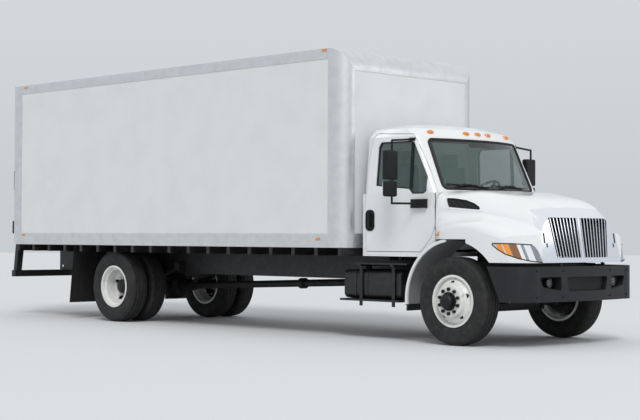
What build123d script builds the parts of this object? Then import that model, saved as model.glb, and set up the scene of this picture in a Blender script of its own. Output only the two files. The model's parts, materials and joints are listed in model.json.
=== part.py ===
from build123d import *
import math
import os

os.makedirs("parts", exist_ok=True)

# Box truck in millimetres: +X forward, +Y left, ground at Z = 0,
# with the origin on the ground under the middle of the overall length.

# overall layout
wheelbase = 6500.0
front_overhang = 1100.0      # front axle to the bumper's nose
rear_overhang = 2640.0       # rear axle to the back of the underride guard
body_rear_overhang = 2468.0  # rear axle to the back of the cargo body
cab_back_setback = 1575.0    # front axle to the back of the cab
cab_gap = 78.0               # cab to cargo body

front_axle_x = (wheelbase + front_overhang + rear_overhang) / 2 - front_overhang
rear_axle_x = front_axle_x - wheelbase
nose_x = front_axle_x + front_overhang
cab_back_x = front_axle_x - cab_back_setback
body_front_x = cab_back_x - cab_gap
body_rear_x = rear_axle_x - body_rear_overhang

running_fit = 0.05           # radial clearance of shafts in bores
seat_gap = 0.3               # rest clearance between curved faces that seat
moving_gap = 7.0             # clearance round panels that open


def block(x, y, z):
    """Solid box from three (low, high) pairs."""
    size = [high - low for low, high in (x, y, z)]
    middle = [(low + high) / 2 for low, high in (x, y, z)]
    return Pos(*middle) * Box(*size)


def outline(points, radius=0.0):
    """Face from a closed outline, its corners rounded by one radius."""
    face = make_face(Polyline(*points, close=True))
    return fillet(face.vertices(), radius) if radius else face


def plate_xz(face, y):
    """Extrude a face drawn in (x, z) across the y pair."""
    return extrude(Plane.XZ.offset(-y[1]) * face, amount=y[1] - y[0])


def plate_yz(face, x):
    """Extrude a face drawn in (y, z) across the x pair."""
    return extrude(Plane.YZ.offset(x[0]) * face, amount=x[1] - x[0])


def plate_xy(face, z):
    """Extrude a face drawn in (x, y) across the z pair."""
    return extrude(Plane.XY.offset(z[0]) * face, amount=z[1] - z[0])


def turned(profile, centre, side=1):
    """Turn a (radius, y) outline about the Y axis through the centre."""
    face = make_face(Polyline(*[(r, side * y) for r, y in profile], close=True))
    return Pos(*centre) * revolve(face, Axis.Y)


def rod(start, end, radius):
    """Round bar between two points."""
    run = Vector(*end) - Vector(*start)
    return extrude(Plane(origin=start, z_dir=run) * Circle(radius), amount=run.length)


def mirrored(shape):
    """The same shape on the other side of the truck."""
    return mirror(shape, about=Plane.XZ)


def both(shape):
    return [shape, mirrored(shape)]


def save(name, *shapes):
    solids = [solid for shape in shapes for solid in shape.solids()]
    export_step(Compound(children=solids), f"parts/{name}.step")


# wheels and tyres
tyre_radius = 520.0
tyre_width = 275.0
bead_radius = 290.0
rim_half_width = 118.0
rim_flange_radius = 308.0
rim_lip = 10.0                # width of the rolled flange edge
disc_offset = 165.0          # rim centre to the disc's mounting face
disc_metal = 11.0
bolt_circle_radius = 142.9
stud_count = 10
nut_radius = 17.0
nut_height = 26.0
pilot_radius = 110.0
hand_hole_count = 5
hand_hole_radius = 215.0
front_wheel_y = 1040.0
rear_wheel_y = 1057.0        # middle of the outer tyre
axle_z = tyre_radius


def tyre(centre, side):
    half = tyre_width / 2
    tread = half - 30
    bead = rim_half_width - rim_lip - 4 - seat_gap
    half_section = [
        (bead_radius + seat_gap, bead), (rim_flange_radius + 1, bead + 3.5), (400, half),
        (tyre_radius - 45, half - 6), (tyre_radius - 8, tread), (tyre_radius, tread * 0.75),
    ]
    return turned(half_section + [(r, -y) for r, y in reversed(half_section)], centre, side)


def disc_wheel(centre, side):
    """Steel disc wheel whose disc bulges towards the given side."""
    w = rim_half_width
    section = [
        (rim_flange_radius, w), (rim_flange_radius, w - rim_lip), (bead_radius, w - rim_lip - 4),
        (282, w - 60),
        (262, w - 80), (262, -w + 70), (282, -w + 52), (bead_radius, -w + rim_lip + 4),
        (rim_flange_radius, -w + rim_lip), (rim_flange_radius, -w), (bead_radius - 8, -w),
        (272, -w + 45), (252, -w + 62), (252, w - 84), (244, w - 40), (200, w + 4),
        (178, disc_offset - 2), (170, disc_offset), (pilot_radius, disc_offset),
        (pilot_radius, disc_offset + disc_metal), (176, disc_offset + disc_metal),
        (188, disc_offset + disc_metal - 4), (210, w + 12), (252, w - 26), (272, w - 50),
        (bead_radius - 8, w),
    ]
    wheel = turned(section, centre, side)
    for step in range(hand_hole_count):
        angle = math.radians(90 + 360 / hand_hole_count * step)
        hole = Pos(centre[0] + hand_hole_radius * math.cos(angle), centre[1],
                   centre[2] + hand_hole_radius * math.sin(angle))
        slot = Rot(90, 0, 0) * Cylinder(29, 3 * disc_offset)
        wheel -= hole * slot
    return wheel


def wheel_nuts(wheel, centre, side, face_y):
    """The wheel with its ring of nuts standing on the disc at face_y from its middle."""
    for step in range(stud_count):
        angle = math.radians(90 + 360 / stud_count * step)
        x = centre[0] + bolt_circle_radius * math.cos(angle)
        z = centre[2] + bolt_circle_radius * math.sin(angle)
        start = (x, centre[1] + side * face_y, z)
        end = (x, centre[1] + side * (face_y + nut_height), z)
        wheel += rod(start, end, nut_radius)
    return wheel


# steering
kingpin_y = 870.0
kingpin_radius = 24.0
boss_radius = 48.0
boss_half_height = 60.0
ear_height = 45.0
front_spindle_radius = 35.0
arm_reach_x = 215.0          # kingpin to the tie rod's pin, straight behind it
yoke_reach = front_wheel_y - kingpin_y - 68.0   # kingpin to the yoke's outer face
yoke_metal = 20.0
backing_plate = 6.0
tie_rod_z = axle_z - boss_half_height - ear_height - 31
tie_rod_radius = 20.0
tie_pin_radius = 12.0


def front_hub(centre, side):
    """Hub with its drum; the wheel's disc sits on the flange."""
    bore = front_spindle_radius + running_fit
    face = disc_offset
    section = [
        (bore, -55), (75, -55), (85, -40), (85, face - 30), (168, face - 22), (168, face),
        (pilot_radius - seat_gap, face), (pilot_radius - seat_gap, face + 18), (88, face + 20),
        (84, face + 70), (60, face + 88), (0, face + 92), (0, face + 10), (bore, face + 10),
    ]
    drum = [
        (85 + seat_gap, face - 42), (205, face - 60), (205, -45), (217, -45), (217, face - 52),
        (207, face - 42), (168, face - 22 - seat_gap), (85 + seat_gap, face - 31),
    ]
    return turned(section, centre, side), turned(drum, centre, side)


def knuckle(side):
    """Steering knuckle: yoke and kingpin, spindle, backing plate and steering arm."""
    x, z = front_axle_x, axle_z
    y = side * kingpin_y
    ear_low = boss_half_height + 2
    ears = []
    for way in (1, -1):
        low, high = sorted((way * ear_low, way * (ear_low + ear_height)))
        ears.append(rod((x, y, z + low), (x, y, z + high), boss_radius))
        span = sorted((y, y + side * yoke_reach))
        ears.append(block((x - boss_radius, x + boss_radius), span, (z + low, z + high)))
    reach = ear_low + ear_height
    web = block((x - boss_radius, x + boss_radius),
                sorted((y + side * (yoke_reach - yoke_metal), y + side * yoke_reach)), (z - reach, z + reach))
    pin = rod((x, y, z - reach), (x, y, z + reach), kingpin_radius)
    shaft_end = side * (front_wheel_y + disc_offset)
    shaft = rod((x, y + side * (yoke_reach - yoke_metal), z), (x, shaft_end, z), front_spindle_radius)
    plate = rod((x, y + side * yoke_reach, z), (x, y + side * (yoke_reach + backing_plate), z), 200)
    pin_x, pin_y = x - arm_reach_x, y
    arm_z = z - reach
    arm_face = make_hull([
        *(Pos(x, y) * Circle(40)).edges(), *(Pos(pin_x, pin_y) * Circle(28)).edges()])
    arm = plate_xy(arm_face, (arm_z, arm_z + 28))
    stud = rod((pin_x, pin_y, tie_rod_z - 25), (pin_x, pin_y, arm_z + 5), tie_pin_radius)
    body = pin
    for piece in (*ears, web, shaft, plate, arm, stud):
        body += piece
    return body


def tie_rod():
    x = front_axle_x - arm_reach_x
    y = kingpin_y
    bar = rod((x, -y, tie_rod_z), (x, y, tie_rod_z), tie_rod_radius)
    for end in (-y, y):
        bar += rod((x, end, tie_rod_z - 24), (x, end, tie_rod_z + 24), 32)
    for end in (-y, y):
        bar -= rod((x, end, tie_rod_z - 30), (x, end, tie_rod_z + 30), tie_pin_radius + running_fit)
    return bar


# ladder frame
rail_outside_y = 432.0
rail_height = 250.0
rail_flange = 80.0
rail_metal = 8.0
rail_top_z = 967.0
rail_bottom_z = rail_top_z - rail_height
rail_front_x = front_axle_x + 900
rail_rear_x = body_rear_x + 30
tow_hole_radius = 20.0
tow_hole_x = rail_rear_x + 80
tow_hole_z = rail_bottom_z + 60
crossmember_height = 160.0
crossmember_width = 90.0


def frame_rail():
    """Channel rail with its flanges turned inwards and a tow hole near its rear end."""
    out, inn = rail_outside_y, rail_outside_y - rail_flange
    web = rail_outside_y - rail_metal
    low, high = rail_bottom_z, rail_top_z
    section = [
        (out, low), (inn, low), (inn, low + rail_metal), (web, low + rail_metal),
        (web, high - rail_metal), (inn, high - rail_metal), (inn, high), (out, high),
    ]
    rail = plate_yz(outline(section), (rail_rear_x, rail_front_x))
    hole = rod((tow_hole_x, inn, tow_hole_z), (tow_hole_x, out + rail_metal, tow_hole_z), tow_hole_radius)
    return rail - hole


def crossmember(x):
    """Channel between the rails, open towards the rear."""
    half = rail_outside_y - rail_metal
    high = rail_top_z - rail_metal
    low = high - crossmember_height
    front = x + crossmember_width / 2
    back = x - crossmember_width / 2
    section = [
        (front, low), (front, high), (back, high), (back, high - rail_metal),
        (front - rail_metal, high - rail_metal), (front - rail_metal, low + rail_metal),
        (back, low + rail_metal), (back, low),
    ]
    return plate_xz(outline(section), (-half, half))


crossmember_places = [
    front_axle_x + 800,
    front_axle_x - 1450,
    front_axle_x - 0.42 * wheelbase,
    front_axle_x - 0.62 * wheelbase,
    rear_axle_x + 900,
    rear_axle_x - 900,
    rail_rear_x + 200,
]

cab_mount_places = [(-620, rail_outside_y - rail_flange / 2), (-1480, rail_outside_y - rail_flange / 2)]
cab_mount_radius = 38.0


def cab_mounts():
    """Rubber-bushed mounts between the rails and the cab's floor."""
    mounts = []
    for setback, y in cab_mount_places:
        x = front_axle_x + setback
        mounts += both(rod((x, y, rail_top_z), (x, y, cab_bottom_z), cab_mount_radius))
    return mounts


# axles and springs
front_spring_y = 392.0
rear_spring_y = 510.0
spring_width = 80.0
beam_depth = 90.0
beam_height = 88.0
beam_drop = 95.0


def front_axle():
    """Dropped I-beam with a kingpin boss at each end."""
    high, low = axle_z + 40, axle_z + 40 - beam_height
    end = kingpin_y - 20
    knee, flat = 640, 540
    upper = [(end, high), (knee, high), (flat, high - beam_drop)]
    lower = [(flat - 20, low - beam_drop), (knee - 20, low), (end, low)]
    left_half = [(-y, z) for y, z in reversed(upper)] + [(-y, z) for y, z in reversed(lower)]
    shape = outline(upper + left_half + lower)
    beam = plate_yz(shape, (front_axle_x - beam_depth / 2, front_axle_x + beam_depth / 2))
    flute_depth = 28
    flange = 14
    flute_face = outline([
        (-flat, high - beam_drop - flange), (flat, high - beam_drop - flange),
        (flat - 20, low - beam_drop + flange), (-flat + 20, low - beam_drop + flange)])
    for face_x in (front_axle_x + beam_depth / 2, front_axle_x - beam_depth / 2):
        cut = (face_x - flute_depth, face_x + flute_depth)
        beam -= plate_yz(flute_face, cut)
    for side in (1, -1):
        y = side * kingpin_y
        beam += rod((front_axle_x, y, axle_z - boss_half_height),
                    (front_axle_x, y, axle_z + boss_half_height), boss_radius)
        beam -= rod((front_axle_x, y, axle_z - 2 * boss_half_height),
                    (front_axle_x, y, axle_z + 2 * boss_half_height), kingpin_radius + running_fit)
    return beam


def leaf_spring(x, y, seat_z, eye_z, half_length, leaves, hanger_inner_y, hanger_top_z):
    """Curved leaf pack on its seat, with a hanger plate at each end."""
    leaf = 12.0
    rise = eye_z - seat_z - leaves * leaf
    radius = (half_length ** 2 + rise ** 2) / (2 * rise)
    span = (y - spring_width / 2, y + spring_width / 2)
    pack = None
    for index in range(leaves):
        reach = half_length * (1 - 0.13 * (leaves - 1 - index))
        low = seat_z + index * leaf
        centre_z = low + radius
        angle = math.asin(reach / radius)
        inner, outer = radius - leaf, radius
        ring = []
        for edge in (outer, inner):
            ring.append([(x + way * edge * math.sin(angle * step), centre_z - edge * math.cos(angle * step))
                         for way, step in ((-1, 1), (1, 0), (1, 1))])
        low_arc, high_arc = ring
        edges = [
            ThreePointArc(*low_arc), Line(low_arc[2], high_arc[2]),
            ThreePointArc(*reversed(high_arc)), Line(high_arc[0], low_arc[0]),
        ]
        blade = plate_xz(make_face(edges), span)
        pack = blade if pack is None else pack + blade
    end_z = seat_z + (leaves - 1) * leaf + radius - (radius - leaf) * math.cos(math.asin(half_length / radius))
    for way in (1, -1):
        end_x = x + way * half_length
        pack += rod((end_x, span[0], end_z), (end_x, span[1], end_z), 28)
        hanger = block((end_x - 55, end_x + 55), (min(hanger_inner_y, span[0]), span[1]),
                       (end_z - 10, hanger_top_z))
        pack += hanger
    clamp = block((x - 110, x + 110), span, (seat_z + 4, seat_z + leaves * leaf + 22))
    return pack + clamp


rear_tube_radius = 72.0
rear_joint_y = -disc_offset - disc_metal     # where the twin discs meet, from the outer wheel's middle
rear_hub_y = (rear_joint_y - 110, rear_joint_y + 140)
bowl_radius = 215.0
rear_spindle_radius = 45.0


def rear_hub(centre, side):
    """Hub of the twin wheels, closed by the axle shaft's flange."""
    bore = rear_spindle_radius + running_fit
    flange_y = rear_joint_y - disc_metal
    section = [
        (bore, rear_hub_y[0]), (95, rear_hub_y[0]), (95, flange_y - 40), (168, flange_y - 24),
        (168, flange_y), (pilot_radius - seat_gap, flange_y), (pilot_radius - seat_gap, rear_joint_y + 40),
        (100, rear_joint_y + 44), (100, rear_hub_y[1] + 10), (60, rear_hub_y[1] + 30),
        (0, rear_hub_y[1] + 32), (0, rear_hub_y[1]), (bore, rear_hub_y[1])]
    return turned(section, centre, side)


def rear_axle():
    """Tube housing with the differential bowl, spindles and pinion nose."""
    centre = (rear_axle_x, 0, axle_z)
    tube_end = rear_wheel_y + rear_hub_y[0] - 8
    spindle_end = rear_wheel_y + rear_hub_y[1] - 25
    bowl = [(0, -170), (120, -160), (190, -110), (bowl_radius, -40), (bowl_radius, 40),
            (190, 110), (120, 160), (0, 170)]
    housing = turned(bowl, centre)
    housing += rod((rear_axle_x, -tube_end, axle_z), (rear_axle_x, tube_end, axle_z), rear_tube_radius)
    housing += rod((rear_axle_x, -spindle_end, axle_z), (rear_axle_x, spindle_end, axle_z),
                   rear_spindle_radius)
    nose = Plane(origin=(rear_axle_x + 150, 0, axle_z), z_dir=(1, 0, 0))
    housing += nose * Pos(0, 0, 110) * Cone(120, 70, 220)
    for side in (1, -1):
        pad = sorted((side * (rear_spring_y - 50), side * (rear_spring_y + 50)))
        housing += block((rear_axle_x - 90, rear_axle_x + 90), pad, (axle_z, rear_seat_z))
    return housing


rear_seat_z = axle_z + 90
front_seat_z = axle_z + 40 - beam_drop

pinion_x = rear_axle_x + 370

# engine, gearbox and drive line
engine_rear_x = front_axle_x - 330
engine_front_x = front_axle_x + 560
engine_half_width = 290.0
engine_z = (620.0, 1400.0)
gearbox_rear_x = front_axle_x - 1230
gearbox_out_z = 710.0
shaft_radius = 50.0
joint_clearance = 2.3        # leaves the tilted end flanges just clear


def engine():
    """Plain engine block on four mounts, with the gearbox behind it."""
    mount_z = (rail_bottom_z + 90, rail_bottom_z + 190)
    web = rail_outside_y - rail_metal
    body = block((engine_rear_x, engine_front_x), (-engine_half_width, engine_half_width), engine_z)
    for x in (engine_rear_x + 120, engine_front_x - 120):
        body += block((x - 50, x + 50), (-web, web), mount_z)
    gearbox_face = outline([
        (engine_rear_x, 560), (engine_rear_x, 930), (engine_rear_x - 300, 880),
        (gearbox_rear_x, 800), (gearbox_rear_x, 610), (engine_rear_x - 300, 580)])
    return body + plate_xz(gearbox_face, (-190, 190))


def drive_shaft():
    start = (gearbox_rear_x - joint_clearance, 0, gearbox_out_z)
    end = (pinion_x + joint_clearance, 0, axle_z)
    run = Vector(*end) - Vector(*start)
    shaft = rod(start, end, shaft_radius)
    for at in (0.012, 0.5, 0.988):
        middle = Vector(*start) + run * at
        low = middle - run.normalized() * 45
        high = middle + run.normalized() * 45
        shaft += rod(tuple(low), tuple(high), shaft_radius + 25)
    return shaft


# fuel tank, battery box and steps, below the doors
tank_x = (front_axle_x - 1900, front_axle_x - 940)
tank_y = (500.0, 1005.0)
tank_z = (500.0, 855.0)
tank_corner = 70.0
step_y = (820.0, 1060.0)
upper_step_z = (925.0, 950.0)
lower_step_z = (469.0, 494.0)
upper_step_x = (front_axle_x - 1715, front_axle_x - 800)
lower_step_x = (front_axle_x - 1930, front_axle_x - 930)


def fuel_tank():
    """Right-hand tank with rounded long edges, straps and frame brackets."""
    section = outline([(-tank_y[1], tank_z[0]), (-tank_y[0], tank_z[0]),
                       (-tank_y[0], tank_z[1]), (-tank_y[1], tank_z[1])], tank_corner)
    tank = plate_yz(section, tank_x)
    band = 6.0
    strap_face = outline([
        (-tank_y[1] - band, tank_z[0] - band), (-tank_y[0] + band, tank_z[0] - band),
        (-tank_y[0] + band, tank_z[1] + band), (-tank_y[1] - band, tank_z[1] + band)],
        tank_corner + band)
    for x in (tank_x[0] + 185, tank_x[0] + 380, tank_x[1] - 130):
        tank += plate_yz(strap_face, (x - 25, x + 25))
        tank += block((x - 30, x + 30), (-tank_y[0] - 40, -rail_outside_y), (tank_z[0] + 100, tank_z[1] - 60))
    return tank


def battery_box():
    """Left-hand box with a lid, on brackets to the frame."""
    box_x = (tank_x[0] + 160, tank_x[1])
    body = block(box_x, (tank_y[0], tank_y[1] - 20), (tank_z[0], tank_z[1] - 40))
    lid = block((box_x[0] - 8, box_x[1] + 8), (tank_y[0] - 8, tank_y[1] - 8), (tank_z[1] - 60, tank_z[1]))
    body += lid
    for x in (box_x[0] + 120, box_x[1] - 120):
        body += block((x - 30, x + 30), (rail_outside_y, tank_y[0] + 20), (tank_z[0] + 100, tank_z[1] - 100))
    return body


def cab_steps(side):
    """Two treads with their hanger straps, seated on the tank's straps or the box."""
    y = sorted((side * step_y[0], side * step_y[1]))
    upper = block(upper_step_x, y, upper_step_z)
    lower = block(lower_step_x, y, lower_step_z)
    outer = sorted((side * (tank_y[1] + 14), side * (tank_y[1] + 22)))
    steps = upper + lower
    for x in (upper_step_x[0] + 120, upper_step_x[1] - 250):
        steps += block((x - 25, x + 25), outer, (lower_step_z[0] - 60, upper_step_z[1]))
        inner = sorted((side * rail_outside_y, side * step_y[1]))
        steps += block((x - 25, x + 25), inner, (upper_step_z[0] - 22, upper_step_z[0] + 4))
    return steps


# cargo body
body_half_width = 1295.5
body_bottom_z = 1130.0
body_top_z = 3640.0
floor_thickness = 35.0
wall_thickness = 38.0
rail_plate = 6.0
lower_rail_height = 180.0
top_rail_height = 132.0
corner_radius = 190.0
roof_front_radius = 250.0
roof_front_cut = 77.0        # how much the front edge's curve takes off the square corner, each way
corner_lap = 20.0            # how far posts and caps run past their curves
roof_thickness = 30.0
cap_height = 280.0
rear_post_depth = 200.0
rear_post_width = 90.0
rear_header_height = 190.0
door_thickness = 26.0
door_panels = 6
long_sill_height = 1030.0 - rail_top_z
cross_sill_pitch = 406.0
cross_sill_width = 60.0

floor_top_z = body_bottom_z + floor_thickness
cap_front_x = body_front_x - roof_front_radius - corner_lap
front_half_width = body_half_width - corner_radius - corner_lap
lining_y = body_half_width - rail_plate - wall_thickness
lining_x = body_front_x - rail_plate - wall_thickness


def corner_plan(inset, spill=0.0):
    """Square-backed plan of a front corner, inset from the outside, its back run on by a spill."""
    front, half = body_front_x - inset, body_half_width - inset
    turn_x, turn_y = body_front_x - corner_radius, body_half_width - corner_radius
    slant = (corner_radius - inset) * math.sqrt(0.5)
    back, inboard = cap_front_x - spill, front_half_width - spill
    return make_face([
        Polyline((turn_x, half), (back, half), (back, inboard), (front, inboard), (front, turn_y)),
        ThreePointArc((front, turn_y), (turn_x + slant, turn_y + slant), (turn_x, half))])


def roof_profile(inset, spill=0.0):
    """Side view of the roof's front edge, down to the foot of the corner caps."""
    front, top = body_front_x - inset, body_top_z - inset
    cut = roof_front_cut + inset * math.sqrt(0.5)
    back, foot = cap_front_x - spill, body_top_z - cap_height - spill
    turn_x, turn_z = body_front_x - roof_front_radius, body_top_z - roof_front_radius
    return make_face([
        Polyline((turn_x, top), (back, top), (back, foot), (front, foot), (front, turn_z)),
        ThreePointArc((front, turn_z), (body_front_x - cut, body_top_z - cut), (turn_x, top))])


def load_side(start, end, shift=0.0):
    """Face covering the load's side of a line across a corner, moved outwards by a shift."""
    along = (Vector(*end) - Vector(*start)).normalized()
    outwards = Vector(-along.Y, along.X) * shift
    near, far = Vector(*start) - along * 300 + outwards, Vector(*end) + along * 300 + outwards
    inwards = Vector(along.Y, -along.X) * 600
    return make_face(Polyline(*[(at.X, at.Y) for at in (near, far, far + inwards, near + inwards)], close=True))


def lined_section(section, line):
    """Closed hollow section: a rounded corner with a slanted lining on the load's side."""
    skin = section(0) - load_side(*line)
    hollow = section(rail_plate, -rail_plate) - load_side(*line, rail_plate)
    return skin - hollow


def body_sills():
    """Two long sills on the frame and the cross sills under the floor."""
    top = rail_top_z + long_sill_height
    long_x = (rail_rear_x, body_front_x)
    sills = [block(long_x, y, (rail_top_z, top)) for y in
             ((rail_outside_y - rail_flange, rail_outside_y), (-rail_outside_y, -rail_outside_y + rail_flange))]
    half = body_half_width - rail_plate
    count = round((body_front_x - body_rear_x) / cross_sill_pitch)
    start, stop = body_rear_x + 120, body_front_x - 60
    for index in range(count):
        x = start + (stop - start) * index / (count - 1)
        sills.append(block((x - cross_sill_width / 2, x + cross_sill_width / 2), (-half, half),
                           (top, body_bottom_z)))
    return sills


def side_wall():
    outside = body_half_width - rail_plate
    return block((body_rear_x + rear_post_depth, cap_front_x), (outside - wall_thickness, outside),
                 (body_bottom_z, body_top_z - roof_thickness))


def front_wall():
    outside = body_front_x - rail_plate
    return block((outside - wall_thickness, outside), (-front_half_width, front_half_width),
                 (body_bottom_z, body_top_z - cap_height))


def load_floor():
    """Deck between the walls, its front corners cut off along the corner linings."""
    half = [(body_rear_x + rear_post_depth, lining_y), (cap_front_x, lining_y), (lining_x, front_half_width)]
    deck = outline(half + [(x, -y) for x, y in reversed(half)])
    return plate_xy(deck, (body_bottom_z, floor_top_z))


def roof_panel():
    half = body_half_width - rail_plate
    return block((body_rear_x + rear_post_depth, cap_front_x), (-half, half),
                 (body_top_z - roof_thickness, body_top_z))


def body_rails():
    """Lower and upper side rails and the front rail as plates, and the rounded front header."""
    half = body_half_width
    low = (body_bottom_z, body_bottom_z + lower_rail_height)
    high = (body_top_z - top_rail_height, body_top_z)
    rear_x = body_rear_x + rear_post_depth
    pieces = []
    for z in (low, high):
        pieces += both(block((rear_x, cap_front_x), (half - rail_plate, half), z))
    pieces.append(block((body_front_x - rail_plate, body_front_x), (-front_half_width, front_half_width), low))
    line = ((cap_front_x, body_top_z - roof_thickness), (lining_x, body_top_z - cap_height))
    header = lined_section(roof_profile, line)
    pieces.append(plate_xz(header, (-front_half_width, front_half_width)))
    return pieces


def corner_posts():
    section = lined_section(corner_plan, ((cap_front_x, lining_y), (lining_x, front_half_width)))
    return both(plate_xy(section, (body_bottom_z, body_top_z - cap_height)))


def corner_caps():
    """Cast caps where the front's rounded top edge meets the rounded corners."""
    foot = body_top_z - cap_height
    outer = plate_xy(corner_plan(0), (foot, body_top_z)) \
        & plate_xz(roof_profile(0), (front_half_width, body_half_width))
    inner = plate_xy(corner_plan(rail_plate, 1), (foot - 1, body_top_z)) \
        & plate_xz(roof_profile(rail_plate, 1), (front_half_width - 1, body_half_width))
    return both(outer - inner)


def rear_frame():
    """Rear posts, header and threshold round the roll-up door."""
    x = (body_rear_x, body_rear_x + rear_post_depth)
    half = body_half_width
    outer = block(x, (-half, half), (body_bottom_z, body_top_z))
    door_half = half - rear_post_width
    opening = block((x[0] - 1, x[1] + 1), (-door_half, door_half),
                    (floor_top_z, body_top_z - rear_header_height))
    return outer - opening


def rear_door():
    """Roll-up door: hinged sections, shown closed between the posts."""
    half = body_half_width - rear_post_width - 3
    low, high = floor_top_z, body_top_z - rear_header_height - 3
    x = (body_rear_x + 40, body_rear_x + 40 + door_thickness)
    slab = block(x, (-half, half), (low, high))
    for index in range(1, door_panels):
        z = low + (high - low) * index / door_panels
        for face_x in x:
            groove = Pos(face_x, 0, z) * Rot(0, 45, 0) * Box(12, 2 * half + 2, 12)
            slab -= groove
    return slab


guard_z = (611.0, 711.0)
guard_depth = 100.0
guard_half_width = 1220.0
sill_bar_z = (1060.0, 1130.0)
sill_bar_depth = 92.0
plate_y = 700.0              # middle of the licence plate's bracket
plate_size = (320.0, 165.0)
plate_holes = (177.8, 120.65)
plate_hole_radius = 3.5
plate_metal = 5.0


def rear_guard():
    """Underride guard: beam on two posts below the rear threshold bar."""
    back = rear_axle_x - rear_overhang
    beam = block((back, back + guard_depth), (-guard_half_width, guard_half_width), guard_z)
    bar_back = body_rear_x - sill_bar_depth
    bar = block((bar_back, body_rear_x), (-1200, 1200), sill_bar_z)
    guard = beam + bar
    for side in (1, -1):
        y = sorted((side * 1100, side * 1200))
        post = outline([(back + 10, guard_z[0] + 20), (back + 90, guard_z[0] + 20),
                        (body_rear_x, sill_bar_z[1]), (bar_back, sill_bar_z[1])])
        guard += plate_xz(post, y)
    middle_z = sill_bar_z[0] - plate_size[1] / 2
    half_plate = plate_size[0] / 2
    bracket = block((bar_back, bar_back + plate_metal), (plate_y - half_plate, plate_y + half_plate),
                    (middle_z - plate_size[1] / 2, sill_bar_z[1]))
    for way_y in (-0.5, 0.5):
        for way_z in (-0.5, 0.5):
            y, z = plate_y + way_y * plate_holes[0], middle_z + way_z * plate_holes[1]
            bracket -= rod((bar_back - 1, y, z), (bar_back + plate_metal + 1, y, z), plate_hole_radius)
    return guard + bracket


# lamps and grab handles on the rear posts
rear_lamp_depth = 55.0
rear_lamp_width = 85.0
rear_lamp_z = (1300.0, 1500.0)
grab_z = (2000.0, 2300.0)
grab_radius = 11.0
grab_reach = 60.0


def rear_fittings(side):
    """Lamp housing and vertical grab handle on one rear post."""
    outer_y = body_half_width - 2
    housing = block((body_rear_x - rear_lamp_depth, body_rear_x),
                    sorted((side * (outer_y - rear_lamp_width), side * outer_y)), rear_lamp_z)
    housing = fillet(housing.edges().filter_by(Axis.Z), 14)
    y = side * (outer_y - rear_lamp_width / 2)
    out_x = body_rear_x - grab_reach
    handle = rod((out_x, y, grab_z[0]), (out_x, y, grab_z[1]), grab_radius)
    for z in (grab_z[0] + 25, grab_z[1] - 25):
        handle += rod((out_x, y, z), (body_rear_x, y, z), grab_radius)
    return housing, handle


def mudflap(side):
    x = rear_axle_x - 905
    y = sorted((side * 620, side * 1240))
    face = outline([(x, 1130), (x - 8, 1130), (x - 116, 250), (x - 108, 250)])
    return plate_xz(face, y)


# cab
cab_half_width = 1035.0
cab_top_half_width = 985.0
cab_bottom_z = 1030.0
cab_belt_z = 1800.0
cab_header_z = 2500.0
cab_roof_z = 2662.0
cab_wall = 60.0
cab_corner = 110.0
door_corner = 32.0           # tighter corners below the belt line, so that doors meet the hood flush
cab_roof_metal = 45.0
cab_floor_thickness = 55.0
glass_thickness = 6.0


def cab_plan(z, half, rear_x, side_front, middle_front, corner):
    """Closed plan section of the cab with a bowed front, at height z."""
    front_side = front_axle_x + side_front
    front_mid = front_axle_x + middle_front
    edges = [
        Line((rear_x, -half), (rear_x, half)),
        Line((rear_x, half), (front_side, half)),
        ThreePointArc((front_side, half), (front_mid, 0), (front_side, -half)),
        Line((front_side, -half), (rear_x, -half)),
    ]
    face = make_face(edges)
    face = fillet(face.vertices(), corner)
    return Plane.XY.offset(z) * face


def cab_mass(inset):
    """Cab without openings, inset on every side by a thickness."""
    w = inset
    rear = cab_back_x + w
    low = cab_bottom_z + (cab_floor_thickness if inset else 0)
    corner = cab_corner - w
    tight = max(door_corner - w, cab_corner / 20)
    lower = loft([
        cab_plan(low, cab_half_width - w, rear, -370 - w, -370 - w + 1, tight),
        cab_plan(cab_belt_z, cab_half_width - w, rear, -370 - w, -370 - w + 1, tight)], ruled=True)
    upper = loft([
        cab_plan(cab_belt_z, cab_half_width - w, rear, -400 - w, -235 - w, corner),
        cab_plan(cab_header_z, cab_top_half_width - w, rear + 15, -740 - w, -500 - w, corner)], ruled=True)
    top_low = cab_header_z
    roof_drop = (cab_roof_metal if inset else 0)
    roof = loft([
        cab_plan(top_low, cab_top_half_width - w, rear + 15, -740 - w, -500 - w, corner),
        cab_plan(cab_roof_z - 62 - roof_drop, cab_top_half_width - w - 60, rear + 60,
                 -860 - w, -640 - w, corner),
    ], ruled=True)
    crown = loft([
        cab_plan(cab_roof_z - 62 - roof_drop, cab_top_half_width - w - 60, rear + 60,
                 -860 - w, -640 - w, corner),
        cab_plan(cab_roof_z - roof_drop, cab_top_half_width - w - 360, rear + 170,
                 -1010 - w, -830 - w, corner),
    ], ruled=True)
    return lower + upper + roof + crown


# door outline in side view, as (x from the front axle, z)
door_points = [
    (-600, 1092), (-1490, 1092), (-1525, 1420), (-1480, 2200), (-1420, 2500), (-1370, 2548),
    (-790, 2520), (-722, 2450), (-385, 1835), (-385, 1385), (-440, 1265),
]
window_points = [
    (-1345, 1900), (-1330, 2380), (-1290, 2440), (-800, 2440), (-745, 2420), (-512, 1990),
    (-512, 1820), (-560, 1790), (-740, 1790), (-800, 1850),
]


def side_face(points, grow=0.0):
    face = make_face(Polyline(*[(front_axle_x + x, z) for x, z in points], close=True))
    if grow:
        face = offset(face, amount=grow, kind=Kind.INTERSECTION)
    return face


hinge_x = front_axle_x - 380
hinge_y = cab_half_width + 6
hinge_pin_radius = 4.0
hinge_barrel_radius = 7.5
hinge_heights = (1445.0, 1690.0)
hinge_barrel = 50.0
hinge_play = 2.0
hinge_leaf = 6.0
handle_plate_x = (front_axle_x - 1507, front_axle_x - 1359)
handle_plate_z = (1341.0, 1603.0)
handle_plate_metal = 8.0


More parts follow.
